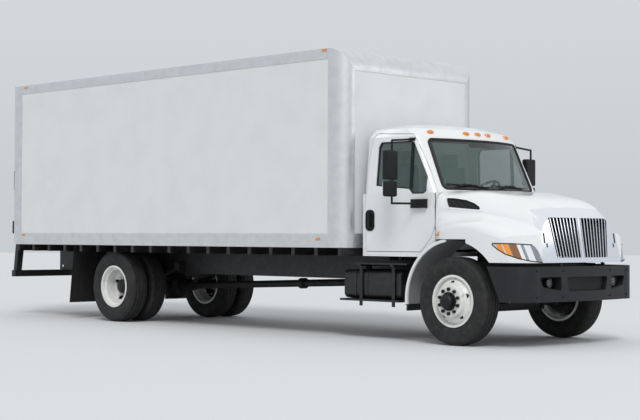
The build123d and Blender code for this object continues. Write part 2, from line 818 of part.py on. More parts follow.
def door_knuckle(z):
    """Barrel and leaf of the door's half of a hinge."""
    low, high = z - hinge_barrel / 2, z + hinge_barrel / 2
    barrel = rod((hinge_x, hinge_y, low), (hinge_x, hinge_y, high), hinge_barrel_radius)
    barrel += block((hinge_x - 45, hinge_x), (hinge_y - 12, hinge_y - 12 + hinge_leaf), (low, high))
    bore = rod((hinge_x, hinge_y, low - 1), (hinge_x, hinge_y, high + 1), hinge_pin_radius + running_fit)
    return barrel - bore


def pillar_knuckles(z):
    """Barrels, leaves and pin of the pillar's half of a hinge."""
    reach = hinge_barrel / 2 + hinge_play
    knuckle = rod((hinge_x, hinge_y, z - reach - 25), (hinge_x, hinge_y, z + reach + 25), hinge_pin_radius)
    for low in (z - reach - 25, z + reach):
        knuckle += rod((hinge_x, hinge_y, low), (hinge_x, hinge_y, low + 25), hinge_barrel_radius)
        knuckle += block((hinge_x + 1, hinge_x + 7), (cab_half_width - 40, hinge_y), (low, low + 25))
    return knuckle


def hinge_well(z):
    """Clearance in the door's front edge round the pillar's barrels."""
    high = hinge_barrel / 2 + hinge_play + 25 + hinge_play
    return rod((hinge_x, hinge_y, z - high), (hinge_x, hinge_y, z + high), hinge_barrel_radius + hinge_play)


def door_handle():
    """Left pull handle: a rounded plate on the door's skin with a grip standing off it."""
    x, z = handle_plate_x, handle_plate_z
    y = cab_half_width + seat_gap
    face = outline([(x[0], z[0]), (x[1], z[0]), (x[1], z[1]), (x[0], z[1])], 60)
    plate = plate_xz(face, (y, y + handle_plate_metal))
    rim = plate_xz(offset(face, amount=-10), (y + 3, y + handle_plate_metal + 1))
    middle = (x[0] + x[1]) / 2
    grip = fillet(block((middle - 16, middle + 16), (y + 22, y + 38), (z[0] + 45, z[1] - 45)).edges(), 6)
    feet = block((middle - 12, middle + 12), (y + 2, y + 24), (z[0] + 50, z[0] + 75))
    feet += block((middle - 12, middle + 12), (y + 2, y + 24), (z[1] - 75, z[1] - 50))
    return plate - rim + grip + feet

windshield_points = [(-880, 1850), (880, 1850), (850, 2462), (-850, 2462)]


def cabin_core(inset):
    """Everything inboard of the doors' inner faces, from end to end."""
    low, top = cab_half_width - inset, cab_top_half_width - inset
    lean = (low - top) / (cab_header_z - cab_belt_z)
    peak_z = cab_roof_z + 100
    peak = top - lean * (peak_z - cab_header_z)
    half = [(low, 0), (low, cab_belt_z), (peak, peak_z)]
    core = outline(half + [(-y, z) for y, z in reversed(half)])
    return plate_yz(core, (cab_back_x - 100, front_axle_x))


def cab_parts():
    """Split the hollow cab into its real panels, doors and glass."""
    outer = cab_mass(0)
    inner = cab_mass(cab_wall)
    shell = outer - inner
    through = (0, 2 * cab_half_width)
    opening = plate_xz(side_face(door_points, moving_gap), (cab_half_width - 160, 2 * cab_half_width))
    opening -= cabin_core(cab_wall + moving_gap)
    leaf = plate_xz(side_face(door_points), (cab_half_width - 160, 2 * cab_half_width))
    window = plate_xz(side_face(window_points), through)
    door = (outer & leaf) - cabin_core(cab_wall) - window
    pane_shell = cab_mass(cab_wall / 2 - glass_thickness / 2) - cab_mass(cab_wall / 2 + glass_thickness / 2)
    pane_zone = plate_xz(side_face(window_points, -seat_gap), (cab_half_width - 160, 2 * cab_half_width))
    pane = pane_shell & pane_zone
    pane -= cabin_core(cab_wall)
    shield_face = outline(windshield_points, 60)
    shield_hole = plate_yz(shield_face, (front_axle_x - 900, front_axle_x))
    shield_shell = outer - cab_mass(glass_thickness)
    shield_zone = plate_yz(offset(shield_face, amount=-seat_gap), (front_axle_x - 900, front_axle_x))
    shield = shield_shell & shield_zone
    body = shell - opening - mirrored(opening) - shield_hole
    guard_round = Cylinder(arch_guard_radius + seat_gap, 3 * cab_half_width)
    guard_arc = Pos(front_axle_x, 0, axle_z) * Rot(90, 0, 0) * guard_round
    body -= guard_arc
    roof_zone = block((cab_back_x - 1, front_axle_x), (-1200, 1200), (cab_header_z + 50, cab_roof_z + 1))
    floor_zone = block((cab_back_x - 1, front_axle_x), (-1200, 1200), (0, cab_bottom_z + cab_floor_thickness))
    back_zone = block((cab_back_x - 1, cab_back_x + cab_wall), (-1200, 1200),
                      (cab_bottom_z + cab_floor_thickness, cab_header_z + 50))
    roof = body & roof_zone
    floor = body & floor_zone
    back = body & back_zone
    frame = body - roof_zone - floor_zone - back_zone
    for z in hinge_heights:
        frame = frame + pillar_knuckles(z) + mirrored(pillar_knuckles(z))
        door = door - hinge_well(z) + door_knuckle(z)
    return roof, floor, back, frame, door, pane, shield


def seat(side):
    """Plain seat: pedestal, cushion and back."""
    y = side * 470
    x = front_axle_x - 1150
    base = block((x - 180, x + 180), (y - 190, y + 190), (cab_bottom_z + cab_floor_thickness, 1370))
    cushion = block((x - 250, x + 250), (y - 250, y + 250), (1370, 1500))
    back_face = outline([(x - 250, 1440), (x - 130, 1440), (x - 200, 2180), (x - 300, 2180)])
    back = plate_xz(back_face, (y - 240, y + 240))
    head = block((x - 300, x - 215), (y - 130, y + 130), (2180, 2360))
    return base + cushion + back + head


def dashboard():
    """Full-width panel behind the windshield, bored for the steering column."""
    x = front_axle_x
    face = outline([
        (x - 430 - seat_gap, 1780), (x - 640, 1790), (x - 760, 1700), (x - 740, 1480), (x - 560, 1380),
        (x - 430 - seat_gap, 1380)])
    panel = plate_xz(face, (-960, 960)) & cab_mass(cab_wall + seat_gap)
    return panel - wheel_plane * Pos(0, 0, -150) * Cylinder(column_radius + seat_gap, 400)


wheel_plane = Plane(origin=(front_axle_x - 830, 470, 1850), z_dir=(-0.62, 0, 0.78))
column_radius = 30.0


def steering_wheel():
    """Rim, spokes and column, leaning back towards the driver."""
    tilt = wheel_plane
    rim = tilt * Torus(215, 16)
    hub = tilt * Pos(0, 0, -30) * Cylinder(60, 60)
    wheel = rim + hub
    for angle in (0, 120, 240):
        wheel += tilt * Rot(0, 0, angle) * Pos(115, 0, -20) * Box(190, 34, 16)
    column = tilt * Pos(0, 0, -150) * Cylinder(column_radius, 240)
    return wheel + column


# hood, fenders and nose
hood_rear_x = -372.0 + moving_gap
hood_metal = 14.0
fender_seam_z = 1245.0
fender_bottom_z = 978.0
arch_radius = 700.0
arch_guard_radius = 735.0
nose_tilt = 9.0
nose_middle_x = 1018.0
nose_corner = (1005.0, 810.0)
fender_turn = (868.0, 1048.0)
fender_end = (560.0, 1166.0)

# half sections of the hood: x from the front axle, then (y, z) of the top from the middle
# out to the crease, and of the fender from below the crease down to its upright side
hood_stations = [
    (-365, [(0, 1866), (600, 1858), (880, 1834), (985, 1775), (1020, 1700), (1034, 1597)],
     [(1036, 1500), (1040, 1400), (1042, 1300)]),
    (-60, [(0, 1838), (560, 1829), (810, 1802), (915, 1742), (955, 1680), (988, 1582)],
     [(1012, 1508), (1118, 1430), (1160, 1330)]),
    (250, [(0, 1806), (520, 1797), (745, 1768), (845, 1708), (895, 1645), (935, 1550)],
     [(968, 1506), (1112, 1446), (1165, 1340)]),
    (550, [(0, 1757), (480, 1745), (665, 1712), (765, 1652), (815, 1590), (852, 1498)],
     [(890, 1462), (1080, 1392), (1155, 1290)]),
    (760, [(0, 1680), (450, 1668), (610, 1640), (695, 1588), (735, 1525), (772, 1440)],
     [(812, 1405), (1030, 1332), (1120, 1235)]),
    (930, [(0, 1522), (430, 1514), (590, 1495), (655, 1462), (690, 1425), (722, 1372)],
     [(765, 1345), (970, 1272), (1062, 1180)]),
    (1070, [(0, 1330), (430, 1326), (580, 1314), (640, 1296), (675, 1274), (705, 1240)],
     [(745, 1222), (900, 1170), (985, 1100)]),
]


def inset_line(points, inset):
    """Points of an open curve moved inwards along its normals."""
    moved = []
    for index, (y, z) in enumerate(points):
        before = points[max(index - 1, 0)]
        after = points[min(index + 1, len(points) - 1)]
        along = (after[0] - before[0], after[1] - before[1])
        length = math.hypot(*along)
        moved.append((y + inset * along[1] / length, z - inset * along[0] / length))
    return moved


def hood_section(at, top, fender, inset, foot_z):
    """Closed section of the hood: one curve over the top, a crease and a fender curve on each side."""
    half = inset_line(top + fender, inset)
    half[0] = (0, top[0][1] - inset)
    crease = len(top) - 1
    over = [(-y, z) for y, z in reversed(half[1:crease + 1])] + half[:crease + 1]
    right = half[crease:]
    left = [(-y, z) for y, z in reversed(right)]
    foot = (right[-1][0], foot_z)
    other_foot = (-foot[0], foot_z)
    return Plane.YZ.offset(at) * make_face([
        Spline(*over), Spline(*right), Line(right[-1], foot), Line(foot, other_foot),
        Line(other_foot, left[0]), Spline(*left)])


def hood_mass(inset):
    """Solid nose of the truck: a smooth loft of its sections, trimmed by the bowed front.

    An inset one runs on below and behind, so that it opens the shell cut by it.
    """
    spill = 25 if inset > 0 else 0
    faces = []
    for index, (x, top, fender) in enumerate(hood_stations):
        at = front_axle_x + x - (spill if index == 0 else 0)
        faces.append(hood_section(at, top, fender, inset, fender_bottom_z - spill))
    back, far = -700, 1300
    end = (fender_end[0], fender_end[1] - inset)
    turn = (fender_turn[0], fender_turn[1] - inset)
    corner = (nose_corner[0] - inset, nose_corner[1] - inset)
    left = [(x, -y) for x, y in (end, turn, corner)]
    plan = [
        Polyline((end[0], -end[1]), (end[0], -far), (back, -far), (back, far), (end[0], far), end),
        ThreePointArc(end, turn, corner),
        ThreePointArc(corner, (nose_middle_x - inset, 0), left[2]),
        ThreePointArc(left[2], left[1], left[0]),
    ]
    nose = extrude(make_face(plan), amount=1500)
    nose = Pos(front_axle_x, 0, 1000) * Rot(0, -nose_tilt, 0) * Pos(0, 0, -400) * nose
    return loft(faces) & nose


surround_metal = 30.0
grille_top = (587.0, 1500.0)
grille_foot = (505.0, 1035.0)
surround_half = [
    (0, 1626), (450, 1612), (690, 1594), (704, 1530), (738, 1397), (754, 1215), (760, 1180), (790, 970),
]
bar_count = 9
bar_width = 14.0
centre_bar_width = 52.0
lamp_gap = 0.8
lamp_points = [
    (-421, 1199), (-180, 1197), (35, 1184), (72, 1164), (128, 1090), (170, 1010), (166, 984), (32, 997),
    (-120, 1028), (-262, 1076), (-350, 1132),
]
# side vent and its raised rim, as (x from the front axle, z)
vent_points = [
    (-246, 1734), (-133, 1729), (13, 1707), (130, 1668), (200, 1630), (243, 1587), (-11, 1607), (-190, 1624),
]
vent_rim_points = [
    (-280, 1750), (-133, 1746), (30, 1722), (150, 1680), (228, 1632), (292, 1566), (-11, 1589), (-205, 1603),
]
vent_rim_height = 5.0
vent_screen_metal = 6.0
vent_reach = (700.0, 1100.0)


def vent_zone(points, radius):
    face = side_face(points)
    return plate_xz(fillet(face.vertices(), radius), vent_reach)


def grille_bars():
    """Upright bars that fan out from a wide middle one, as a block to be trimmed."""
    reach = (front_axle_x + 700, front_axle_x + 1200)
    spill = 20
    bars = plate_yz(outline([(-centre_bar_width / 2, 1000), (centre_bar_width / 2, 1000),
                             (centre_bar_width / 2, 1520), (-centre_bar_width / 2, 1520)]), reach)
    for side in (1, -1):
        for index in range(bar_count):
            share = side * (index + 0.7) / (bar_count + 0.2)
            top_y, foot_y = share * grille_top[0], share * grille_foot[0]
            half = bar_width / 2
            bars += plate_yz(outline([
                (top_y - half, grille_top[1] + spill), (top_y + half, grille_top[1] + spill),
                (foot_y + half, grille_foot[1] - spill), (foot_y - half, grille_foot[1] - spill)]), reach)
    return bars


def hood_parts():
    """Hood, lower fenders, chrome surround with its bars, right headlamp and vent screen."""
    outer = hood_mass(0)
    inner = hood_mass(hood_metal)
    chrome = outer - hood_mass(surround_metal)
    reach = (front_axle_x + 700, front_axle_x + 1200)
    surround_face = outline(surround_half + [(-y, z) for y, z in reversed(surround_half[1:])])
    surround_zone = plate_yz(surround_face, reach)
    grille_face = outline([(-grille_top[0], grille_top[1]), grille_top, grille_foot,
                           (-grille_foot[0], grille_foot[1])], 25)
    grille_hole = plate_yz(grille_face, reach)
    lamp_plane = Plane(origin=(front_axle_x, 0, 0), x_dir=(math.sqrt(0.5), math.sqrt(0.5), 0),
                       z_dir=(math.sqrt(0.5), -math.sqrt(0.5), 0))
    lamp_face = outline(lamp_points, 10)
    lamp = chrome & extrude(lamp_plane * lamp_face, amount=1600)
    lamp_hole = extrude(lamp_plane * offset(lamp_face, amount=lamp_gap), amount=1600)
    lamp_holes = lamp_hole + mirrored(lamp_hole)

    arch = Pos(front_axle_x, 0, axle_z) * Rot(90, 0, 0) * Cylinder(arch_radius + 8, 3000)
    skin = outer - inner - surround_zone - lamp_holes - arch
    rim_zone = vent_zone(vent_rim_points, 18)
    rim = (hood_mass(-vent_rim_height) - inner) & rim_zone
    vent = vent_zone(vent_points, 14)
    skin = skin + rim + mirrored(rim) - vent - mirrored(vent)
    screen = (inner - hood_mass(hood_metal + vent_screen_metal)) & rim_zone

    hood_span = (front_axle_x + hood_rear_x, front_axle_x + 1200)
    upper_zone = block(hood_span, (-1300, 1300), (fender_seam_z, 2000))
    cowl = cab_plan(1000, cab_half_width + 100, cab_back_x, -400 + moving_gap, -235 + moving_gap, 1)
    panel = (skin & upper_zone) - extrude(cowl, amount=1100)
    lower_zone = block((front_axle_x + 200, front_axle_x + 1200), (-1300, 1300), (0, fender_seam_z))
    fenders = skin & lower_zone
    surround = (chrome & surround_zone) - lamp_holes - grille_hole
    slats = chrome & (grille_bars() & grille_hole)
    return panel, fenders, surround + slats, lamp, screen


# hood hinge, just above the bumper
hood_pivot_x = front_axle_x + 1012
hood_pivot_z = 957.0
hood_pivot_y = (392.0, 404.0)   # where the pin starts, and the inner side of the arms
hood_pin_radius = 12.0


def hood_hinge_arm():
    """Arm from the pivot, below the surround's foot, up to the inside of the surround."""
    face = make_hull([
        *(Pos(hood_pivot_x, hood_pivot_z) * Circle(16)).edges(),
        *(Pos(hood_pivot_x - 75, hood_pivot_z + 155) * Circle(28)).edges()])
    arm = plate_xz(face, (hood_pivot_y[1] + 6, hood_pivot_y[1] + 18))
    hole = rod((hood_pivot_x, 0, hood_pivot_z), (hood_pivot_x, 600, hood_pivot_z),
               hood_pin_radius + running_fit)
    above = block((front_axle_x, front_axle_x + 1200), (0, rail_outside_y),
                  (fender_bottom_z - seat_gap, body_bottom_z))
    return arm - hole - (above - hood_mass(surround_metal + seat_gap))


def frame_horn():
    """Plate on the rail's end that carries the bumper and the hood's pivot pin."""
    face = outline([
        (rail_front_x - 160, rail_bottom_z + 60), (rail_front_x - 160, rail_top_z - 20),
        (hood_pivot_x - 15, hood_pivot_z + 3), (hood_pivot_x - 6, hood_pivot_z + 15),
        (hood_pivot_x + 6, hood_pivot_z + 15), (hood_pivot_x + 14, hood_pivot_z + 3),
        (hood_pivot_x + 12, bumper_z[1] - 2 * bumper_metal), (nose_x, bumper_z[1] - 2 * bumper_metal),
        (nose_x, bumper_z[0] + 90), (rail_front_x, bumper_z[0] + 110)])
    plate = plate_xz(face, (rail_outside_y, rail_outside_y + 12))
    plate &= plate_xy(bumper_face(bumper_metal), (0, body_bottom_z))
    return plate + rod((hood_pivot_x, hood_pivot_y[1] + 2, hood_pivot_z),
                       (hood_pivot_x, rail_outside_y + 6, hood_pivot_z), hood_pin_radius)


# fixed splash guards behind the front wheels
def splash_guard(side):
    """Quarter ring behind the wheel with a flat top and a flap at its foot."""
    def ring(outer_radius, inner_radius, y):
        outer = Pos(front_axle_x, 0, axle_z) * Rot(90, 0, 0) * Cylinder(outer_radius, 4000)
        inner = Pos(front_axle_x, 0, axle_z) * Rot(90, 0, 0) * Cylinder(inner_radius, 4100)
        zone = block((front_axle_x - 800, front_axle_x - 110), sorted((side * y[0], side * y[1])),
                     (454, fender_seam_z - moving_gap))
        return (outer - inner) & zone
    band = ring(arch_guard_radius, arch_radius, (1140, 1165))
    liner = ring(arch_guard_radius, arch_guard_radius - 8, (560, 1165))
    flap = block((front_axle_x - arch_guard_radius + 20, front_axle_x - 520),
                 sorted((side * 900, side * 1160)), (384, 460))
    guard = band + liner
    return guard + (flap & block((front_axle_x - 800, front_axle_x - 690), (-1300, 1300), (0, 1000)))


# front bumper
bumper_z = (530.0, 935.0)
bumper_metal = 10.0
bumper_half_width = 1165.0
pocket_wall = 6.0
fog_lamp_y = 640.0
fog_lamp_z = 748.0
fog_lamp_radius = 46.0


def bumper_face(inset):
    w = inset
    x = front_axle_x
    edges = [
        Line((x + 480, -bumper_half_width + w), (x + 480, bumper_half_width - w)),
        Line((x + 480, bumper_half_width - w), (x + 760, bumper_half_width - w)),
        ThreePointArc((x + 760, bumper_half_width - w), (x + 955 - w * 0.7, 1075 - w * 0.7),
                      (x + 1030 - w, 850)),
        ThreePointArc((x + 1030 - w, 850), (nose_x - w, 0), (x + 1030 - w, -850)),
        ThreePointArc((x + 1030 - w, -850), (x + 955 - w * 0.7, -1075 + w * 0.7),
                      (x + 760, -bumper_half_width + w)),
        Line((x + 760, -bumper_half_width + w), (x + 480, -bumper_half_width + w)),
    ]
    return make_face(edges)


def front_bumper():
    """Bent bumper shell with end returns, a pocket behind each recess and the fog lamps."""
    x = front_axle_x
    shell = plate_xy(bumper_face(0), bumper_z) - plate_xy(bumper_face(bumper_metal), (0, 2000))
    flange = plate_xy(bumper_face(0), (bumper_z[1] - bumper_metal, bumper_z[1])) \
        - plate_xy(bumper_face(55), (0, 2000))
    bumper = shell + flange
    bumper -= block((x + 400, x + 500), (-2000, 2000), (0, 2000))
    slant = outline([(x + 400, 400), (x + 690, 400), (x + 690, 560), (x + 498, 960), (x + 400, 960)])
    bumper -= plate_xz(slant, (-2000, 2000))
    mass = plate_xy(bumper_face(0), bumper_z)
    middle = [(-412, 813), (412, 813), (373, 650), (-373, 650)]
    recesses = [(middle, x + 1030)]
    for side in (1, -1):
        end = [(side * 500, 815), (side * 860, 815), (side * 800, 700), (side * 500, 655)]
        recesses.append((end, x + 950))
    for points, back_x in recesses:
        face = outline(points, 25)
        hole = plate_yz(face, (back_x + pocket_wall, x + 1200))
        cup = plate_yz(offset(face, amount=pocket_wall), (back_x, x + 1200)) & mass
        bumper = bumper - plate_yz(face, (x + 900, x + 1200)) + (cup - hole)
    for side in (1, -1):
        lamp_at = (side * fog_lamp_y, fog_lamp_z)
        bumper += rod((x + 950, *lamp_at), (x + 1000, *lamp_at), fog_lamp_radius)
    return bumper


# mirrors
mirror_y = 1369.0
mirror_x = front_axle_x - 798


def door_mirror():
    """Left mirror: two heads on a tube frame that bolts to the door."""
    main = block((mirror_x - 45, mirror_x + 45), (mirror_y - 100, mirror_y + 100), (1952, 2306))
    main = fillet(main.edges(), 25)
    lower = block((mirror_x - 42, mirror_x + 42), (mirror_y - 95, mirror_y + 95), (1750, 1934))
    lower = fillet(lower.edges(), 25)
    tube = 13
    post = rod((mirror_x + 30, mirror_y, 1665), (mirror_x + 30, mirror_y, 2424), tube)
    top = rod((mirror_x + 30, mirror_y, 2424), (mirror_x + 20, cab_top_half_width + 12, 2455), tube)
    foot = rod((mirror_x + 30, mirror_y, 1670), (mirror_x + 190, cab_half_width + 20, 1670), tube)
    base_y = (cab_half_width + seat_gap, cab_half_width + 45)
    base = block((mirror_x + 70, mirror_x + 305), base_y, (1617, 1724))
    pad_y = (cab_top_half_width - 12, cab_top_half_width + 22)
    pad = block((mirror_x - 20, mirror_x + 60), pad_y, (2435, 2475))
    frame = post + top + foot + base + pad
    for z in (2424, 1670):
        frame += Pos(mirror_x + 30, mirror_y, z) * Sphere(tube)
    return (frame + main + lower) - cab_mass(0)


side_marker_size = (62.0, 32.0)
side_marker_depth = 14.0
side_marker_places = [
    (body_front_x - 440, body_bottom_z + 106), (body_rear_x + 262, body_bottom_z + 149),
    (body_front_x - 338, body_top_z - 23), (body_rear_x + 308, body_top_z - 37),
]


def marker_lamps():
    """Five lamps along the cab's roof and four on each side of the cargo body."""
    lamps = []
    for y in (-740, -212, 0, 212, 740):
        x = front_axle_x - 570 - 230 * (y / (cab_top_half_width - 30)) ** 2
        shape = Pos(x, y, cab_header_z + 50) * scale(Sphere(34), (1.2, 1.5, 0.9))
        lamps.append(shape - cab_mass(0))
    length, height = side_marker_size
    for x, z in side_marker_places:
        lamp = block((x - length / 2, x + length / 2), (body_half_width, body_half_width + side_marker_depth),
                     (z - height / 2, z + height / 2))
        lamps += both(fillet(lamp.faces().sort_by(Axis.Y)[-1].edges(), side_marker_depth / 3))
    return lamps


# build every node
for side, name in ((1, "left"), (-1, "right")):
    centre = (front_axle_x, side * front_wheel_y, axle_z)
    hub, drum = front_hub(centre, side)
    face = disc_offset + disc_metal
    save(f"front_{name}_tyre", tyre(centre, side))
    save(f"front_{name}_wheel", wheel_nuts(disc_wheel(centre, side), centre, side, face), hub, drum)
    save(f"{name}_knuckle", knuckle(side))
    outer = (rear_axle_x, side * rear_wheel_y, axle_z)
    inner = (rear_axle_x, side * (rear_wheel_y - 2 * disc_offset - disc_metal * 2), axle_z)
    save(f"rear_{name}_tyres", tyre(outer, side), tyre(inner, side))
    outer_wheel = wheel_nuts(disc_wheel(outer, -side), outer, side, -disc_offset)
    save(f"rear_{name}_wheels", outer_wheel, disc_wheel(inner, side), rear_hub(outer, side))

save("tie_rod", tie_rod())
save("ladder_frame", *both(frame_rail()), *[crossmember(x) for x in crossmember_places],
     *both(frame_horn()), *cab_mounts())
save("front_axle", front_axle())
springs = []
for side in (1, -1):
    spring = leaf_spring(front_axle_x, front_spring_y, front_seat_z, 640, 620, 6,
                         front_spring_y, rail_bottom_z)
    springs.append(spring if side == 1 else mirrored(spring))
    spring = leaf_spring(rear_axle_x, rear_spring_y, rear_seat_z, 790, 700, 8,
                         rail_outside_y, rail_top_z - 90)
    springs.append(spring if side == 1 else mirrored(spring))
save("leaf_springs", *springs)
save("rear_axle", rear_axle())
save("engine", engine())
save("drive_shaft", drive_shaft())
save("radiator", block((front_axle_x + 640, front_axle_x + 710), (-430, 430), (rail_top_z, 1440)))
save("fuel_tank", fuel_tank())
save("battery_box", battery_box())
save("cab_steps", cab_steps(1), cab_steps(-1))

save("body_sills", *body_sills())
save("load_floor", load_floor())
save("side_walls", *both(side_wall()))
save("front_wall", front_wall())
save("roof_panel", roof_panel())
save("body_rails", *body_rails())
save("corner_posts", *corner_posts())
save("corner_caps", *corner_caps())
save("rear_frame", rear_frame())
save("rear_door", rear_door())
save("rear_guard", rear_guard())
save("mudflaps", mudflap(1), mudflap(-1))
save("rear_fittings", *rear_fittings(1), *rear_fittings(-1))

roof, floor, back, frame, door, pane, shield = cab_parts()
save("cab_roof", roof)
save("cab_floor", floor)
save("cab_back", back)
save("cab_pillars", frame)
save("left_door", door)
save("right_door", mirrored(door))
save("left_handle", door_handle())
save("right_handle", mirrored(door_handle()))
save("left_window", pane)
save("right_window", mirrored(pane))
save("windshield", shield)
save("left_mirror", door_mirror())
save("right_mirror", mirrored(door_mirror()))
save("seats", seat(1), seat(-1))
save("dashboard", dashboard())
save("steering_wheel", steering_wheel())
save("marker_lamps", *marker_lamps())

panel, fenders, grille, lamp, screen = hood_parts()
save("hood", panel)
save("fenders", fenders)
save("grille", grille)
save("headlamps", *both(lamp))
save("hood_vents", *both(screen))
save("hood_hinges", *both(hood_hinge_arm()))
save("splash_guards", splash_guard(1), splash_guard(-1))
save("front_bumper", front_bumper())
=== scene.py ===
import json
import math
import bpy
import bmesh
from mathutils import Matrix, Vector

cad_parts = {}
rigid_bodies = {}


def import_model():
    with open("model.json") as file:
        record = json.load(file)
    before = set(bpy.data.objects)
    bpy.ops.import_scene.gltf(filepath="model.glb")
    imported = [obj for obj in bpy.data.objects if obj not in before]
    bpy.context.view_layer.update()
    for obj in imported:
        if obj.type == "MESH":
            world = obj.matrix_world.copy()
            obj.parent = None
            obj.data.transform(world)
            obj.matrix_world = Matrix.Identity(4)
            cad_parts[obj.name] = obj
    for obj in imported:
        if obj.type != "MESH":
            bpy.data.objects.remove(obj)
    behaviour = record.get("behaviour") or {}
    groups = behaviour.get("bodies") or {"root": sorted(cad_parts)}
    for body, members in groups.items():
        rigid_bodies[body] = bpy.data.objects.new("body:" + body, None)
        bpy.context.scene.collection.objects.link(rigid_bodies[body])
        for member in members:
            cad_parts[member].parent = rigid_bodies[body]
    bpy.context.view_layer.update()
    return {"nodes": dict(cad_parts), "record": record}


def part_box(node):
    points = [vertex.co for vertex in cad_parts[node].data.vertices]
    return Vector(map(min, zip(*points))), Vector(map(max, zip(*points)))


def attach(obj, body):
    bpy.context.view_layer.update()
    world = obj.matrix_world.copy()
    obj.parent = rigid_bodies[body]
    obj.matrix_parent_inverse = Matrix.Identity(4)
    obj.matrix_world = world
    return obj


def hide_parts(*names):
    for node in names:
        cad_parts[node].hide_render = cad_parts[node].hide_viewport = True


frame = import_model()
nodes = frame["nodes"]
print("frame loaded:", len(nodes), "nodes")

frontAxleX = 4.020   # metres, row frame: +X forward, +Y left, ground at Z = 0
rearAxleX = -2.480
axleZ = 0.520

# materials


def hexColor(text):
    parts = [int(text[i:i + 2], 16) / 255 for i in (1, 3, 5)]
    linear = [c / 12.92 if c <= 0.04045 else ((c + 0.055) / 1.055) ** 2.4 for c in parts]
    return (*linear, 1.0)


def addNode(tree, kind, inputs=None, **settings):
    # a new node with its settings, values and links; hands back its outputs
    made = tree.nodes.new("ShaderNode" + kind)
    for name, value in settings.items():
        setattr(made, name, value)
    for name, value in (inputs or {}).items():
        if isinstance(value, bpy.types.NodeSocket):
            tree.links.new(value, made.inputs[name])
        else:
            made.inputs[name].default_value = value
    return made.outputs


def startFinish(name, color, roughness, metallic=0.0, **sockets):
    finish = bpy.data.materials.new(name)
    finish.use_nodes = True
    tree = finish.node_tree
    shader = tree.nodes["Principled BSDF"]
    shader.inputs["Base Color"].default_value = hexColor(color)
    shader.inputs["Roughness"].default_value = roughness
    shader.inputs["Metallic"].default_value = metallic
    for socket, value in sockets.items():
        shader.inputs[socket.replace("_", " ")].default_value = value
    where = addNode(tree, "TexCoord")["Object"]
    return finish, tree, shader, where


def dress(tree, shader, relief, stainAndShade=None):
    # relief is a pattern with its strength and depth; the second is a pattern with two colours, for
    # stains and dirt and, in the vent screen, for painted shade, and the values between which one turns
    # into the other
    height, strength, depth = relief
    bump = addNode(tree, "Bump", {"Height": height, "Strength": strength, "Distance": depth})
    tree.links.new(bump["Normal"], shader.inputs["Normal"])
    if stainAndShade:
        mark, clean, dirtAndShade, low, high = stainAndShade
        ramp = addNode(tree, "MapRange", {"Value": mark, "From Min": low, "From Max": high})
        mix = addNode(tree, "Mix", {"Factor": ramp["Result"], 6: hexColor(clean), 7: hexColor(dirtAndShade)},
                      data_type="RGBA")[2]
        tree.links.new(mix, shader.inputs["Base Color"])
        return mix


def sideways(tree, where):
    # the parts of a place, and how far it lies from the truck's middle plane
    split = addNode(tree, "SeparateXYZ", {"Vector": where})
    return split, addNode(tree, "Math", {0: split["Y"]}, operation="ABSOLUTE")["Value"]


def coachEnamel():
    # two-pack white enamel sprayed on steel and moulded panels: deep gloss with a faint orange peel
    finish, tree, shader, where = startFinish("coachEnamel", "#E9EAE8", 0.22, Coat_Weight=0.6)
    shader.inputs["Coat Roughness"].default_value = 0.06
    # 11 mm peel
    peel = addNode(tree, "TexNoise", {"Vector": where, "Scale": 90.0, "Detail": 1.0})
    cloud = addNode(tree, "TexNoise", {"Vector": where, "Scale": 1.3, "Detail": 4.0})
    dress(tree, shader, (peel["Fac"], 0.04, 0.002), (cloud["Fac"], "#E6E8E8", "#DEE0DF", 0.45, 0.8))
    return finish


def panelSkin():
    # pre-painted composite sheet: satin white with the slight print-through of its woven backing
    finish, tree, shader, where = startFinish("panelSkin", "#DFE1E2", 0.42)
    # 6 mm print
    weave = addNode(tree, "TexNoise", {"Vector": where, "Scale": 160.0, "Detail": 2.0})
    grime = addNode(tree, "TexNoise", {"Vector": where, "Scale": 2.5, "Detail": 6.0})
    dress(tree, shader, (weave["Fac"], 0.06, 0.001), (grime["Fac"], "#DFE1E2", "#D8DADB", 0.4, 0.8))
    return finish


def millAluminium():
    # extruded aluminium left as drawn: fine lines along the die and dull oxide clouds
    finish, tree, shader, where = startFinish("millAluminium", "#C3C6C8", 0.38, 1.0)
    # 3 mm die lines
    stretch = addNode(tree, "Mapping", {"Vector": where, "Scale": (2.0, 300.0, 300.0)})
    lines = addNode(tree, "TexNoise", {"Vector": stretch["Vector"], "Scale": 1.0, "Detail": 2.0})
    oxide = addNode(tree, "TexNoise", {"Vector": where, "Scale": 7.0, "Detail": 3.0})
    dress(tree, shader, (lines["Fac"], 0.04, 0.001), (oxide["Fac"], "#E0E2E4", "#D2D5D7", 0.4, 0.8))
    rough = addNode(tree, "MapRange", {"Value": oxide["Fac"], "To Min": 0.34, "To Max": 0.46})
    tree.links.new(rough["Result"], shader.inputs["Roughness"])
    return finish


def chassisPaint():
    # satin black chassis coat with road dust lying in it
    finish, tree, shader, where = startFinish("chassisPaint", "#16171A", 0.45)
    dust = addNode(tree, "TexNoise", {"Vector": where, "Scale": 9.0, "Detail": 6.0})
    # 4 mm spray texture
    coat = addNode(tree, "TexNoise", {"Vector": where, "Scale": 220.0, "Detail": 1.0})
    dress(tree, shader, (coat["Fac"], 0.10, 0.001), (dust["Fac"], "#141518", "#2B2B2B", 0.45, 0.8))
    return finish


def castIron():
    # sand-cast iron and forged steel under thin black paint: pitted and dull
    finish, tree, shader, where = startFinish("castIron", "#1B1B1D", 0.6, 0.2)
    # 4 mm sand grit
    grit = addNode(tree, "TexNoise", {"Vector": where, "Scale": 260.0, "Detail": 3.0})
    rust = addNode(tree, "TexNoise", {"Vector": where, "Scale": 11.0, "Detail": 6.0})
    dress(tree, shader, (grit["Fac"], 0.25, 0.001), (rust["Fac"], "#19191B", "#33302C", 0.5, 0.8))
    return finish


